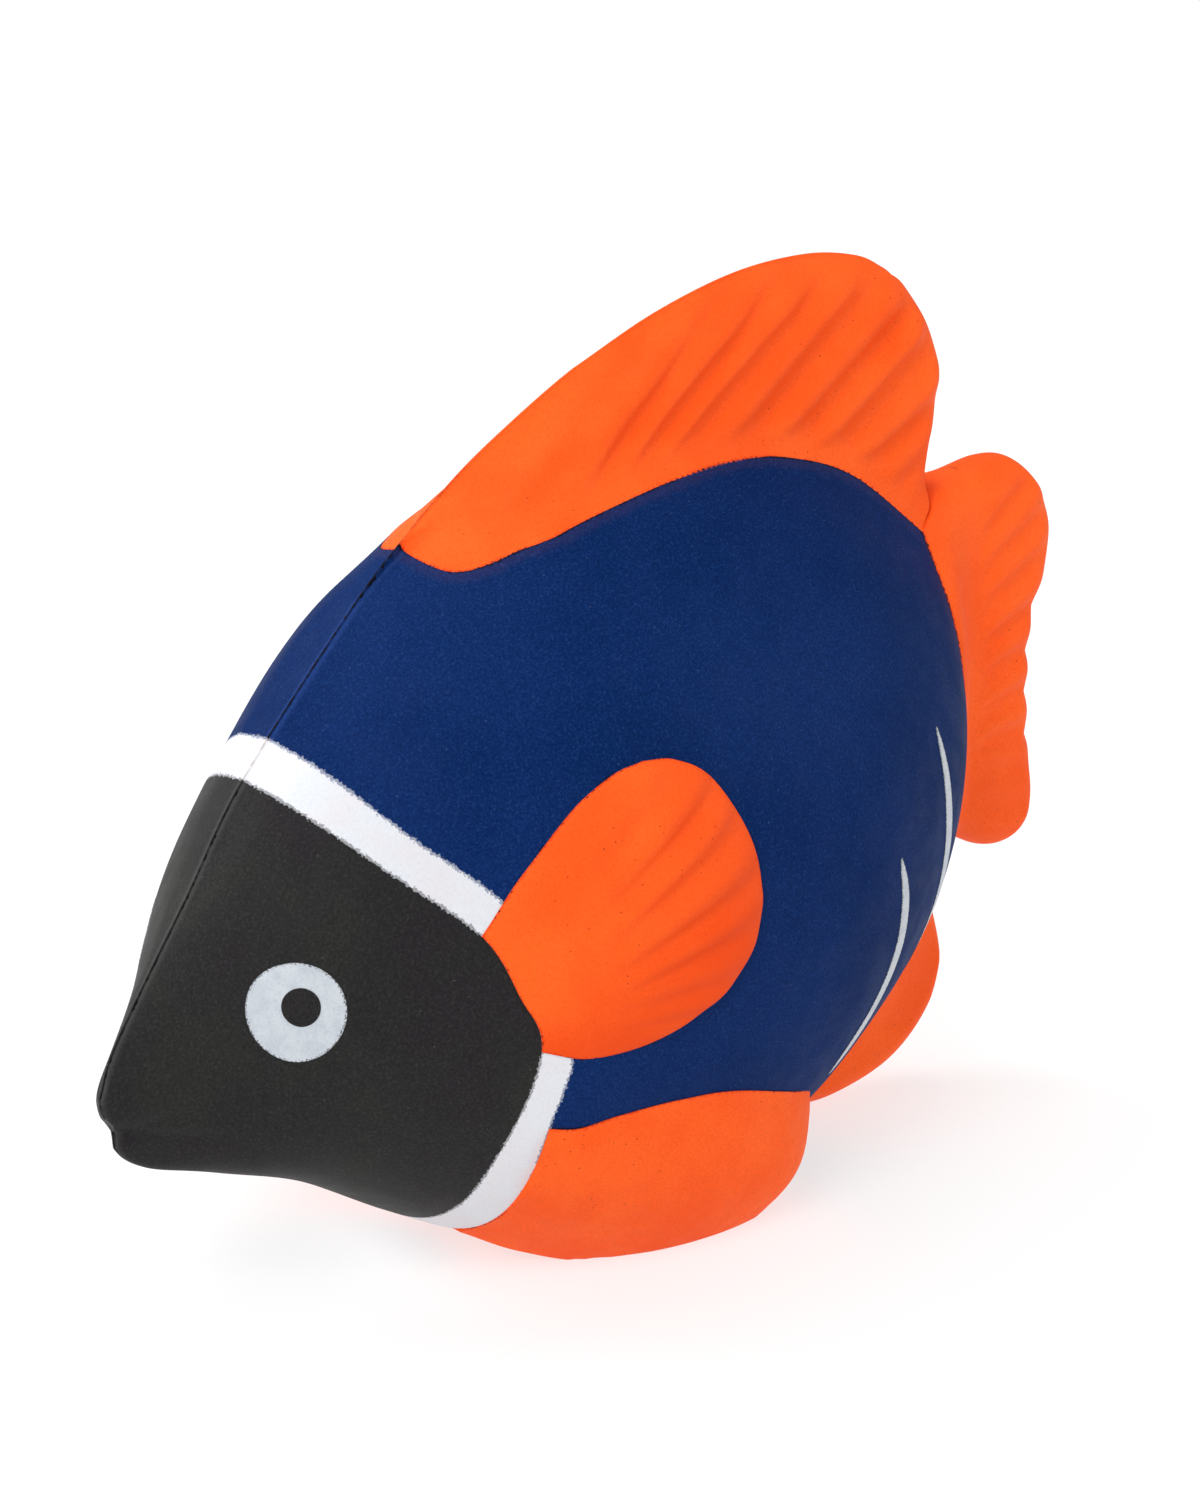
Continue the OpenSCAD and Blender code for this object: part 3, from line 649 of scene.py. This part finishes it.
def make_dorsal_blade():
    ss = fin_shares
    vs = eased(BLADE_ROWS)
    low = np.stack([lerp(FLEX_FRONT, FLEX_REAR, ss), np.full(len(ss), FLEX_Z)], axis=-1)
    front = on_seam(lerp((FLEX_FRONT - X_SNOUT) / BODY_L, BLADE_TOP[0][0], vs))
    front[0] = low[0]
    grid = patch(low, curve(at(BLADE_TOP), ss), front, curve(at(BLADE_REAR), vs), ss, vs)
    depth, painted_shade = dorsal_relief(grid)
    return shade(section("dorsal_fin_skin", grid, depth, {"rim_a": dorsal_lines}), painted_shade)


# The tail fin, in a root that stays and a blade beyond the bending line

TAIL_EDGE_R = 3.5
TAIL_TIP_SHARE = 0.7
TAIL_FLUTE_D = 0.7
# Flutes by the share of the tail's height where each crosses the bending line, its slope and its strength
TAIL_FLUTES = [
    (0.96, 0.9, 0), (0.849, 0.75, 0.9), (0.759, 0.49, 0.8), (0.668, 0.42, 0.8),
    (0.567, 0.36, 1), (0.488, 0.25, 0.9), (0.396, 0.215, 0.9), (0.325, 0.05, 0.8),
    (0.267, -0.17, 0.4), (0.186, -0.23, 0.5), (0.1, -0.3, 0),
]
# How fast the flutes grow in from the root, from the rear edge, and from the top and bottom
TAIL_FADES = (5, 2.2, 7)
# Scallops of the rear edge: their depth, the flutes between which they lie, and their lag behind these
SCALLOP_D = 0.45
SCALLOPED = (3.2, 7.6)
SCALLOP_LAG = 0.36
SCALLOP_FADE = 2
# Where the root's low and top edges bend, in shares of the way along and up to the blade
TAIL_BENDS = ((0.5, 0.6), (0.42, 0.74))
TAIL_GROWTH = 5
tail_fan = [(-TAIL_Z - share * TAIL_H, -slope, strength) for share, slope, strength in TAIL_FLUTES]


def tail_rim(v):
    return edge(v * TAIL_H, TAIL_EDGE_R) * edge((1 - v) * TAIL_H, TAIL_EDGE_R)


def make_tail_root():
    ss = even(TAIL_ROOT_STEPS)
    ends = [np.array([X_FLEX, z]) for z in TAIL_NECK]
    low, top = (
        curve([start, lerp(start, end, np.array(bend)), end], ss)
        for start, end, bend in zip((tail_low, tail_top), ends, TAIL_BENDS)
    )
    grid = patch(low, top, tail_border, lerp(ends[0], ends[1], up[:, None]), ss, up)
    base = half_width(tail_border[:, 0], tail_border[:, 1])[None]
    blade = TAIL_T / 2 * tail_rim(up)[None]
    s = ss[:, None]
    grow = np.where(blade > base, 1 - (1 - s) ** TAIL_GROWTH, smooth(s))
    depth = np.maximum(SEAM_LAND, lerp(base, blade, grow))
    sharp = np.zeros(depth.shape, bool)
    sharp[[0, -1]] = depth[[0, -1]] > HARD_FROM
    return solid("tail_root_skin", lifted(grid, -depth), lifted(grid, depth), {"rim_a": tail_lines}, sharp)


def make_tail_blade():
    ss = even(TAIL_STEPS)
    vs = eased(TAIL_ROWS)
    length = X_ROOT + TAIL_L - X_FLEX

    def place(line):
        return np.array([X_FLEX, TAIL_Z]) + np.asarray(line, float) * [length, TAIL_H]

    front = np.stack([np.full(len(vs), X_FLEX), lerp(*TAIL_NECK, vs)], axis=-1)
    rear = curve(place(TAIL_REAR_EDGE), vs)
    phase = flute_phase(-rear[:, 1], rear[:, 0] - X_FLEX, tail_fan) - SCALLOP_LAG
    shown = smooth(SCALLOP_FADE * (phase - SCALLOPED[0])) * smooth(SCALLOP_FADE * (SCALLOPED[1] - phase))
    rear[:, 0] -= SCALLOP_D * (1 - np.abs(np.sin(np.pi * phase))) * shown
    grid = patch(curve(place(TAIL_LOW_EDGE), ss), curve(place(TAIL_TOP_EDGE), ss), front, rear, ss, vs)
    s = ss[:, None]
    v = vs[None]
    taper = lerp(1, TAIL_TIP_SHARE, s) * TAIL_T / 2
    relief, painted_shade = flutes(-grid[..., 1], grid[..., 0] - X_FLEX, tail_fan)
    at_root, at_rear, at_ends = TAIL_FADES
    fade = smooth(at_root * s) * smooth(at_rear * (1 - s)) * smooth(at_ends * v) * smooth(at_ends * (1 - v))
    rim = tail_rim(v) * edge((1 - s) * length, TAIL_EDGE_R)
    depth = np.maximum(SEAM_LAND, (taper + TAIL_FLUTE_D / 2 * relief * fade) * rim)
    # The flutes' painted shade in their valleys, at half strength
    return shade(section("tail_fin_skin", grid, depth, {"rim_a": tail_lines}), FLUTE_PAINTED_SHADE / 2 * painted_shade * fade)


# The lower fins

ANAL_EDGE_R = 3
ANAL_END = 1
ANAL_POWER = 3
ANAL_FRONT_BEND = (0.785, 0.06)
ANAL_REAR_BEND = (1, 0.25)


def make_anal():
    ss = even(ANAL_STEPS)
    vs = even(ANAL_ROWS)
    line = at(ANAL_EDGE)
    line[1, 1] = ANAL_Z
    low = curve(line, ss)
    front = curve([low[0], at(ANAL_FRONT_BEND), anal_root[0]], vs)
    rear = curve([low[-1], at(ANAL_REAR_BEND), anal_root[-1]], vs)
    grid = patch(low, anal_root, front, rear, ss, vs)
    length = np.linalg.norm(low[-1] - low[0])
    ends = edge(ss * length + ANAL_END, ANAL_EDGE_R) * edge((1 - ss) * length + ANAL_END, ANAL_EDGE_R)
    reach = np.linalg.norm(anal_root - low, axis=-1)[:, None]
    base = half_width(anal_root[:, 0], anal_root[:, 1])[:, None]
    rim = edge(vs[None] * reach, ANAL_EDGE_R) * ends[:, None]
    depth = np.maximum(SEAM_LAND, lerp(ANAL_T / 2, base, vs[None] ** ANAL_POWER) * rim)
    return section("anal_fin_skin", grid, depth, {"rim_a": anal_lines})


FOOT_POWER = 2.2
FOOT_EDGE_R = 4
FOOT_END = 0.4
PELVIC_STEP = 0.12
PELVIC_TOE_BEND = (0.385, 0.024)
PELVIC_HEEL = (0.46, 0)
PELVIC_END = 0.675
PELVIC_REAR_BEND = (0.696, 0.06)


def make_pelvic(name, side):
    ss = even(PELVIC_STEPS)
    vs = even(PELVIC_ROWS)
    top = curve(at(PELVIC_LINE), ss)
    heel = at(PELVIC_HEEL) - [0, FOOT_CUT]
    toe = at(PELVIC_FRONT[0])
    end = np.array([X_SNOUT + PELVIC_END * BODY_L, -FOOT_CUT])
    low = curve([toe, at(PELVIC_TOE_BEND), heel, lerp(heel, end, 0.5), end], ss)
    front = curve(at(PELVIC_FRONT), vs)
    rear = curve([end, at(PELVIC_REAR_BEND), top[-1]], vs)
    grid = patch(low, top, front, rear, ss, vs)
    skin = along_body(grid)
    line = half_width(top[:, 0], top[:, 1])[:, None] + PELVIC_STEP
    foot_x = X_SNOUT + np.array(FOOT_LINE)[:, 0] * BODY_L
    foot_table = curve(np.stack([foot_x, np.array(FOOT_LINE)[:, 1] * FOOT_W / 2], axis=-1), fine)
    foot = np.interp(low[:, 0], foot_table[:, 0], foot_table[:, 1])[:, None]
    outer = np.maximum(skin + PELVIC_STEP, lerp(line, foot, (1 - vs[None]) ** FOOT_POWER))
    under = np.minimum(skin - SINK, outer - SINK)
    closing = edge((1 - ss) * np.linalg.norm(end - toe) + FOOT_END, FOOT_EDGE_R)[:, None]
    middle = (under + outer) / 2
    grid = grid.copy()
    grid[..., 1] = np.maximum(0, grid[..., 1])
    outer = lerp(middle, outer, closing)
    under = lerp(middle, under, closing)
    return plate(name, grid, outer, under, {"rim_a": pelvic_lines}, side)


# The pectoral fins

PECTORAL_RIM = 0.1
PECTORAL_FLUTE_D = 0.85
# Rounding of the sides and of the end, in shares of the fin
PECTORAL_SIDE_R = 0.3
PECTORAL_END_R = 0.35
# Height at the root and its growth along the fin, and the same for the flutes
PECTORAL_GROWTH = (0.12, 1.1)
PECTORAL_FADE = (-0.6, 2.6)
# Painted shade towards the lower end, where the fin turns from the light: its strength, where it starts, its
# run, and how fast it grows along and down
PECTORAL_PAINTED_SHADE = 0.6
SHADE_FROM = 0.7
SHADE_RUN = 0.85
SHADE_GROWTH = (0.8, 1.3)
PECTORAL_MIDDLE = X_SNOUT + 0.45 * BODY_L
# Flutes by the share of the body's height where each passes that middle, its slope and its strength
PECTORAL_FLUTES = [
    (0.74, 0.85, 0), (0.668, 0.76, 0.35), (0.601, 0.65, 0.85), (0.549, 0.575, 0.85), (0.494, 0.39, 0.8),
    (0.453, 0.25, 0.6), (0.418, 0.06, 0.3), (0.386, -0.04, 0.4), (0.35, -0.1, 0),
]
pectoral_fan = [(-share * BODY_H, -slope, strength) for share, slope, strength in PECTORAL_FLUTES]


def make_pectoral(name, side):
    ss = even(PECTORAL_STEPS)
    vs = even(PECTORAL_ROWS)
    grid = patch(*pectoral_border(ss, vs), ss, vs)
    s = ss[:, None]
    v = vs[None]
    skin = along_body(grid)
    rim = edge(v, PECTORAL_SIDE_R) * edge(1 - v, PECTORAL_SIDE_R) * edge(1 - s, PECTORAL_END_R)
    rise = lerp(PECTORAL_RIM, PECTORAL_T, rim * smooth(PECTORAL_GROWTH[0] + PECTORAL_GROWTH[1] * s))
    relief, painted_shade = flutes(-grid[..., 1], grid[..., 0] - PECTORAL_MIDDLE, pectoral_fan)
    fade = rim * smooth(PECTORAL_FADE[0] + PECTORAL_FADE[1] * s)
    outer = skin + rise + PECTORAL_FLUTE_D / 2 * relief * fade
    piece = plate(name, grid, outer, skin - SINK, {"rim_a": pectoral_lines}, side)
    # Painted shade towards the lower end, where the fin turns from the light, and in the flute valleys
    low = smooth((SHADE_GROWTH[0] * s + SHADE_GROWTH[1] * (1 - v) - SHADE_FROM) / SHADE_RUN)
    return shade(piece, PECTORAL_PAINTED_SHADE * low + FLUTE_PAINTED_SHADE * painted_shade * fade)


# The painted coats

def make_coat(name, grid, lift, side):
    skin = along_body(grid)
    border = np.vstack([grid[0], grid[:, -1], grid[-1][::-1], grid[::-1, 0]])
    rims = {"rim_a": [on_flank(border)]}
    return plate(name, grid, skin + lift + COAT_T, skin + lift - SINK / 2, rims, side)


def disc(centre, diameter, n):
    """A round grid in the plane that touches the skin at its centre."""
    x, z = at(centre)
    slopes = half_width(x + 1, z) - half_width(x - 1, z), half_width(x, z + 1) - half_width(x, z - 1)
    along = np.array([1, slopes[0] / 2, 0])
    along /= np.linalg.norm(along)
    across = np.array([0, slopes[1] / 2, 1])
    across -= along * (across @ along)
    across /= np.linalg.norm(across)
    a, b = np.meshgrid(np.linspace(-1, 1, n + 1), np.linspace(-1, 1, n + 1), indexing="ij")
    right = diameter / 2 * a * np.sqrt(1 - b * b / 2)
    high = diameter / 2 * b * np.sqrt(1 - a * a / 2)
    flat = right[..., None] * along[[0, 2]] + high[..., None] * across[[0, 2]]
    return np.array([x, z]) + flat


STREAK_TIP = 0.12
STREAK_ROUND = (0.7, 0.3)
STREAK_AHEAD = 0.01


def stroke(line, width, n, m):
    """A tapered stroke along a curve of shares."""
    ts = even(n)
    points = curve(at(line), ts)
    ahead = curve(at(line), unit(ts + STREAK_AHEAD)) - curve(at(line), unit(ts - STREAK_AHEAD))
    across = np.stack([ahead[:, 1], -ahead[:, 0]], axis=-1)
    across /= np.linalg.norm(ahead, axis=-1)[:, None]
    half = np.maximum(STREAK_TIP, width / 2 * edge(ts, STREAK_ROUND[0]) * edge(1 - ts, STREAK_ROUND[1]))
    ways = np.linspace(1, -1, m + 1)
    return points[:, None] + across[:, None] * half[:, None, None] * ways[None, :, None]


# Materials

def linear(rgb):
    """A colour written in display values from 0 to 255, as linear light."""
    c = np.asarray(rgb, float) / 255
    c = np.where(c <= 0.04045, c / 12.92, ((c + 0.055) / 1.055) ** 2.4)
    return (*c, 1.0)


class Paint:
    """A node material, built step by step from the rest coordinates of the skin."""

    def __init__(self, name, roughness, specular, sheen=0.0):
        self.material = bpy.data.materials.new(name)
        self.material.use_nodes = True
        self.tree = self.material.node_tree
        self.shader = self.tree.nodes["Principled BSDF"]
        self.shader.inputs["Roughness"].default_value = roughness
        self.shader.inputs["Specular IOR Level"].default_value = specular
        self.shader.inputs["Sheen Weight"].default_value = sheen
        self.rest = self.node("ShaderNodeAttribute", attribute_name="rest").outputs["Vector"]

    def node(self, kind, inputs=None, **settings):
        node = self.tree.nodes.new(kind)
        for key, value in settings.items():
            setattr(node, key, value)
        for key, value in (inputs or {}).items():
            if isinstance(value, bpy.types.NodeSocket):
                self.tree.links.new(value, node.inputs[key])
            else:
                node.inputs[key].default_value = value
        return node

    def math(self, operation, a, b=0.0, c=0.0):
        return self.node("ShaderNodeMath", {0: a, 1: b, 2: c}, operation=operation).outputs[0]

    def noise(self, size, detail=2.0, rough=0.5):
        """Noise from 0 to 1, whose lumps are about size millimetres wide."""
        inputs = {"Vector": self.rest, "Scale": 1 / size, "Detail": detail, "Roughness": rough}
        return self.node("ShaderNodeTexNoise", inputs).outputs["Fac"]

    def ramp(self, value, low, high, to_low=0.0, to_high=1.0):
        inputs = {"Value": value, "From Min": low, "From Max": high, "To Min": to_low, "To Max": to_high}
        return self.node("ShaderNodeMapRange", inputs, interpolation_type="SMOOTHSTEP").outputs["Result"]

    def mix(self, factor, a, b):
        node = self.node("ShaderNodeMix", data_type="RGBA")
        for index, value in ((0, factor), (6, a), (7, b)):
            if isinstance(value, bpy.types.NodeSocket):
                self.tree.links.new(value, node.inputs[index])
            else:
                node.inputs[index].default_value = value
        return node.outputs[2]

    def clouds(self, size, high, rgb_a, rgb_b):
        """Two colours that pass into each other in soft clouds."""
        return self.mix(self.ramp(self.noise(size, 3), 0.35, high), linear(rgb_a), linear(rgb_b))

    def over(self, colour, mask, rgb, share=1.0):
        """The colour with another laid over it, where the mask shows."""
        if share != 1:
            mask = self.math("MULTIPLY", mask, share)
        return self.mix(mask, colour, linear(rgb))

    def spots(self, size, radius, share):
        """A mask of round spots, on a share of the cells of a lattice."""
        inputs = {"Vector": self.rest, "Scale": 1 / size}
        cells = self.node("ShaderNodeTexVoronoi", inputs)
        draw = self.node("ShaderNodeSeparateColor", {0: cells.outputs["Color"]}).outputs[0]
        shown = self.math("LESS_THAN", draw, share)
        disc_mask = self.ramp(cells.outputs["Distance"], radius, 0.4 * radius)
        return self.math("MULTIPLY", shown, disc_mask)

    def distance(self, name):
        return self.node("ShaderNodeAttribute", attribute_name=name).outputs["Fac"]

    def ragged(self, name, width, rag, size):
        """A mask that is 1 at a paint line and 0 beyond a ragged width."""
        wander = self.math("MULTIPLY_ADD", self.noise(size, 3), rag, -rag / 2)
        return self.ramp(self.math("ADD", self.distance(name), wander), width, 0.35 * width)

    def along(self):
        """Place along the body in millimetres."""
        return self.node("ShaderNodeSeparateXYZ", {0: self.rest}).outputs[0]

    def off_seam(self):
        """Distance from the mould seam's plane in millimetres."""
        y = self.node("ShaderNodeSeparateXYZ", {0: self.rest}).outputs[1]
        return self.math("ABSOLUTE", y)

    def seam(self, width, rag):
        """A ragged, broken line along the mould seam."""
        wander = self.math("MULTIPLY_ADD", self.noise(rag, 3), 4 * width, -1.9 * width)
        return self.ramp(self.math("ADD", self.off_seam(), wander), width, 0.5 * width)

    def seam_highlight(self, inner, outer):
        """A soft painted highlight on both sides of the mould seam, along its raised ridge."""
        off = self.off_seam()
        return self.math("MULTIPLY", self.ramp(off, 0.5 * inner, inner), self.ramp(off, outer, inner))

    def finish(self, colour, height, strength, distance_mm=0.1):
        self.tree.links.new(colour, self.shader.inputs["Base Color"])
        bump = self.node("ShaderNodeBump", {
            "Height": height, "Strength": strength, "Distance": distance_mm * MM})
        self.tree.links.new(bump.outputs["Normal"], self.shader.inputs["Normal"])
        return self.material

    def vary_roughness(self, value, low, high):
        self.tree.links.new(self.ramp(value, 0.3, 0.7, low, high), self.shader.inputs["Roughness"])


DARK_EDGE = (16, 15, 22)
SEAM_DARK = (12, 11, 14)
OVERSPRAY = (96, 60, 62)


def orange_paint():
    paint = Paint("orange_foam", 0.62, 0.1)
    grain = paint.noise(0.2, 3, 0.6)
    colour = paint.clouds(9, 0.65, (246, 88, 24), (252, 98, 31))
    # Painted shade in the flute valleys and towards the pectoral fins' lower ends
    colour = paint.over(colour, paint.distance("painted_shade"), (216, 62, 16))
    colour = paint.over(colour, paint.ramp(grain, 0.34, 0.68, 0, 0.36), (218, 66, 12))
    gather = paint.ramp(paint.noise(10, 2), 0.46, 0.64, 0.1, 0.85)
    pores = paint.spots(0.55, 0.18, 0.26)
    colour = paint.over(colour, paint.math("MULTIPLY", pores, gather), (148, 42, 12))
    colour = paint.over(colour, paint.ragged("rim_a", 0.24, 0.6, 0.3), (210, 42, 12), 0.55)
    colour = paint.over(colour, paint.ragged("rim_a", 0.09, 0.7, 0.28), (40, 22, 26), 0.85)
    front = paint.ramp(paint.along(), FLEX_FRONT + 4, FLEX_FRONT - 1)
    seam = paint.math("MULTIPLY", paint.seam(0.1, 0.5), front)
    colour = paint.over(colour, seam, (150, 40, 18), 0.7)
    paint.vary_roughness(paint.noise(1.5), 0.57, 0.68)
    return paint.finish(colour, paint.math("SUBTRACT", grain, pores), 0.3, 0.06)


def blue_paint():
    paint = Paint("blue_foam", 0.6, 0.04)
    grain = paint.noise(0.2, 3, 0.6)
    colour = paint.clouds(14, 0.65, (1, 33, 83), (9, 39, 91))
    colour = paint.over(colour, paint.ramp(grain, 0.3, 0.55, 0.45, 0), (0, 18, 58))
    colour = paint.over(colour, paint.ramp(grain, 0.5, 0.75, 0, 0.35), (40, 72, 130))
    colour = paint.over(colour, paint.spots(0.8, 0.12, 0.12), (86, 98, 128), 0.35)
    colour = paint.over(colour, paint.ragged("rim_c", 1.3, 0.8, 0.9), OVERSPRAY, 0.1)
    colour = paint.over(colour, paint.ragged("rim_a", 0.18, 0.6, 0.3), DARK_EDGE, 0.85)
    colour = paint.over(colour, paint.ragged("rim_b", 0.14, 0.7, 0.25), (190, 196, 206), 0.5)
    # Painted highlight along the seam ridge
    colour = paint.over(colour, paint.seam_highlight(0.2, 0.75), (44, 72, 138), 0.35)
    colour = paint.over(colour, paint.seam(0.13, 0.6), SEAM_DARK)
    paint.vary_roughness(paint.noise(2.5), 0.55, 0.65)
    return paint.finish(colour, grain, 0.35, 0.06)


def black_paint():
    paint = Paint("black_foam", 0.6, 0.07, sheen=0.05)
    grain = paint.noise(0.22, 3, 0.6)
    colour = paint.clouds(11, 0.65, (35, 33, 35), (38, 39, 37))
    colour = paint.over(colour, paint.ramp(grain, 0.3, 0.55, 0.5, 0), (22, 21, 22))
    colour = paint.over(colour, paint.ramp(grain, 0.5, 0.75, 0, 0.28), (70, 69, 68))
    colour = paint.over(colour, paint.spots(0.8, 0.12, 0.12), (104, 102, 100), 0.35)
    clear = paint.ramp(paint.distance("rim_b"), 0.3, 0.6)
    fuzz = paint.math("MULTIPLY", paint.ragged("rim_a", 0.12, 0.7, 0.25), clear)
    colour = paint.over(colour, fuzz, (190, 192, 196), 0.55)
    # Painted highlight along the seam ridge
    colour = paint.over(colour, paint.seam_highlight(0.22, 0.7), (84, 83, 82), 0.3)
    colour = paint.over(colour, paint.seam(0.17, 0.55), (6, 5, 5))
    paint.vary_roughness(paint.noise(2.5), 0.55, 0.65)
    return paint.finish(colour, grain, 0.4, 0.06)


def white_paint():
    paint = Paint("white_foam", 0.6, 0.12)
    grain = paint.noise(0.22, 3)
    colour = paint.clouds(4, 0.7, (214, 217, 222), (216, 212, 216))
    colour = paint.over(colour, paint.ramp(grain, 0.4, 0.8, 0, 0.4), (192, 197, 207))
    colour = paint.over(colour, paint.ragged("rim_a", 0.16, 0.8, 0.25), (96, 98, 104), 0.7)
    colour = paint.over(colour, paint.ragged("rim_b", 0.16, 0.8, 0.25), (86, 98, 132), 0.7)
    colour = paint.over(colour, paint.seam(0.08, 0.5), (150, 128, 112), 0.6)
    return paint.finish(colour, grain, 0.3, 0.06)


def white_coat():
    paint = Paint("white_coat", 0.6, 0.12)
    grain = paint.noise(0.2, 3)
    colour = paint.clouds(1.4, 0.7, (195, 201, 206), (183, 189, 197))
    colour = paint.over(colour, paint.ramp(grain, 0.42, 0.75, 0, 0.4), (160, 168, 180))
    colour = paint.over(colour, paint.ragged("rim_a", 0.13, 0.7, 0.13), (62, 62, 68), 0.85)
    return paint.finish(colour, grain, 0.3, 0.05)


def black_coat():
    paint = Paint("black_coat", 0.6, 0.07)
    grain = paint.noise(0.22, 3)
    colour = paint.mix(paint.ramp(grain, 0.35, 0.7), linear((42, 40, 40)), linear((31, 30, 31)))
    colour = paint.over(colour, paint.ragged("rim_a", 0.1, 0.3, 0.3), (120, 122, 126), 0.4)
    return paint.finish(colour, grain, 0.35, 0.05)


PAINTS = {
    "blue_foam": blue_paint(),
    "black_foam": black_paint(),
    "white_foam": white_paint(),
    "orange_foam": orange_paint(),
    "white_coat": white_coat(),
    "black_coat": black_coat(),
}


# Pieces on their bodies


def dress(piece, node, slot):
    piece.data.materials.append(PAINTS[slot])
    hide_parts(node)


def on_trunk(piece):
    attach(piece, "trunk")
    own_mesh(piece)


def add_trunk():
    for make, node, slot in (
        (make_body, "body", "blue_foam"),
        (make_head, "head", "black_foam"),
        (make_band, "white_band", "white_foam"),
        (make_dorsal_root, "dorsal_fin_root", "orange_foam"),
        (make_tail_root, "tail_root", "orange_foam"),
        (make_anal, "anal_fin", "orange_foam"),
    ):
        piece = make()
        dress(piece, node, slot)
        on_trunk(piece)


def add_flexing_fins():
    blade = make_dorsal_blade()
    dress(blade, "dorsal_fin", "orange_foam")
    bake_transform(blade)
    tail = make_tail_blade()
    dress(tail, "tail_fin", "orange_foam")
    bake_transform(tail)


def add_side_pieces():
    for word, side in (("left", -1), ("right", 1)):
        pelvic = make_pelvic(f"pelvic_fin_{word}_skin", side)
        dress(pelvic, f"pelvic_fin_{word}", "orange_foam")
        on_trunk(pelvic)

        pectoral = make_pectoral(f"pectoral_fin_{word}_skin", side)
        dress(pectoral, f"pectoral_fin_{word}", "orange_foam")
        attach(pectoral, f"{word}_fin")
        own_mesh(pectoral)

        for node, grid, lift, slot in (
            ("eye", disc(EYE_AT, EYE_D, EYE_STEPS), 0.0, "white_coat"),
            ("pupil", disc(PUPIL_AT, PUPIL_D, PUPIL_STEPS), COAT_T, "black_coat"),
            ("front_streak", stroke(FRONT_STREAK, STREAK_W, *STREAK_STEPS), 0.0, "white_coat"),
            ("rear_streak", stroke(REAR_STREAK, STREAK_W, *STREAK_STEPS), 0.0, "white_coat"),
        ):
            coat = make_coat(f"{node}_{word}_coat", grid, lift, side)
            dress(coat, f"{node}_{word}", slot)
            on_trunk(coat)


# Studio

CAMERA_AZIMUTH = math.radians(-40)
CAMERA_ELEVATION = math.radians(19)
CAMERA_DISTANCE = 370
CAMERA_TARGET = (-0.4, 0, 38)
CAMERA_LENS = 108
SENSOR = 36
FLOOR_SIZE = 6.0
FLOOR_GLOW = 1.06
FLOOR_GLOW_SHARE = 0.63
WORLD_LIGHT = 0.4
LAMP_AIM = (0, 0, 35)
# Name, place and size in metres, power in watts
LAMPS = [
    ("key", (-0.95, -0.5, 0.85), 0.7, 10.5),
    ("top", (0.1, 0.25, 1.1), 0.8, 3.5),
    ("side", (0.75, -0.8, 0.45), 0.6, 3.8),
    ("rim", (-0.6, 0.8, 0.55), 0.6, 8),
]


def add_camera():
    back = Vector((
        math.sin(CAMERA_AZIMUTH) * math.cos(CAMERA_ELEVATION),
        -math.cos(CAMERA_AZIMUTH) * math.cos(CAMERA_ELEVATION),
        math.sin(CAMERA_ELEVATION),
    ))
    data = bpy.data.cameras.new("camera")
    data.lens = CAMERA_LENS
    data.sensor_width = SENSOR
    data.sensor_height = SENSOR
    data.sensor_fit = "AUTO"
    data.clip_start = 0.01
    data.clip_end = 50
    camera = bpy.data.objects.new("camera", data)
    camera.location = (Vector(CAMERA_TARGET) + back * CAMERA_DISTANCE) * MM
    camera.rotation_euler = back.to_track_quat("Z", "Y").to_euler()
    bpy.context.scene.collection.objects.link(camera)
    bpy.context.scene.camera = camera


def add_lamp(name, place, size, power):
    data = bpy.data.lights.new(name, "AREA")
    data.shape = "DISK"
    data.size = size
    data.energy = power
    lamp = bpy.data.objects.new(name, data)
    lamp.location = Vector(place)
    lamp.rotation_euler = (lamp.location - Vector(LAMP_AIM) * MM).to_track_quat("Z", "Y").to_euler()
    bpy.context.scene.collection.objects.link(lamp)


def add_floor():
    mesh = bpy.data.meshes.new("floor")
    half = FLOOR_SIZE / 2
    corners = [(-half, -half, 0), (half, -half, 0), (half, half, 0), (-half, half, 0)]
    mesh.from_pydata(corners, [], [(0, 1, 2, 3)])
    floor = bpy.data.objects.new("floor", mesh)
    bpy.context.scene.collection.objects.link(floor)
    material = bpy.data.materials.new("floor")
    material.use_nodes = True
    tree = material.node_tree
    shader = tree.nodes["Principled BSDF"]
    shader.inputs["Base Color"].default_value = linear((248, 248, 248))
    shader.inputs["Roughness"].default_value = 0.9
    shader.inputs["Specular IOR Level"].default_value = 0.1
    glow = tree.nodes.new("ShaderNodeEmission")
    glow.inputs["Strength"].default_value = FLOOR_GLOW
    mix = tree.nodes.new("ShaderNodeMixShader")
    mix.inputs[0].default_value = FLOOR_GLOW_SHARE
    tree.links.new(shader.outputs[0], mix.inputs[1])
    tree.links.new(glow.outputs[0], mix.inputs[2])
    tree.links.new(mix.outputs[0], tree.nodes["Material Output"].inputs[0])
    mesh.materials.append(material)


def add_world():
    world = bpy.data.worlds.new("studio")
    bpy.context.scene.world = world
    world.use_nodes = True
    background = world.node_tree.nodes["Background"]
    background.inputs["Color"].default_value = (1, 1, 1, 1)
    background.inputs["Strength"].default_value = WORLD_LIGHT


add_camera()
add_trunk()
add_flexing_fins()
add_side_pieces()
add_floor()
add_world()
for lamp in LAMPS:
    add_lamp(*lamp)
bpy.context.scene.view_settings.view_transform = "Standard"

bpy.context.view_layer.update()
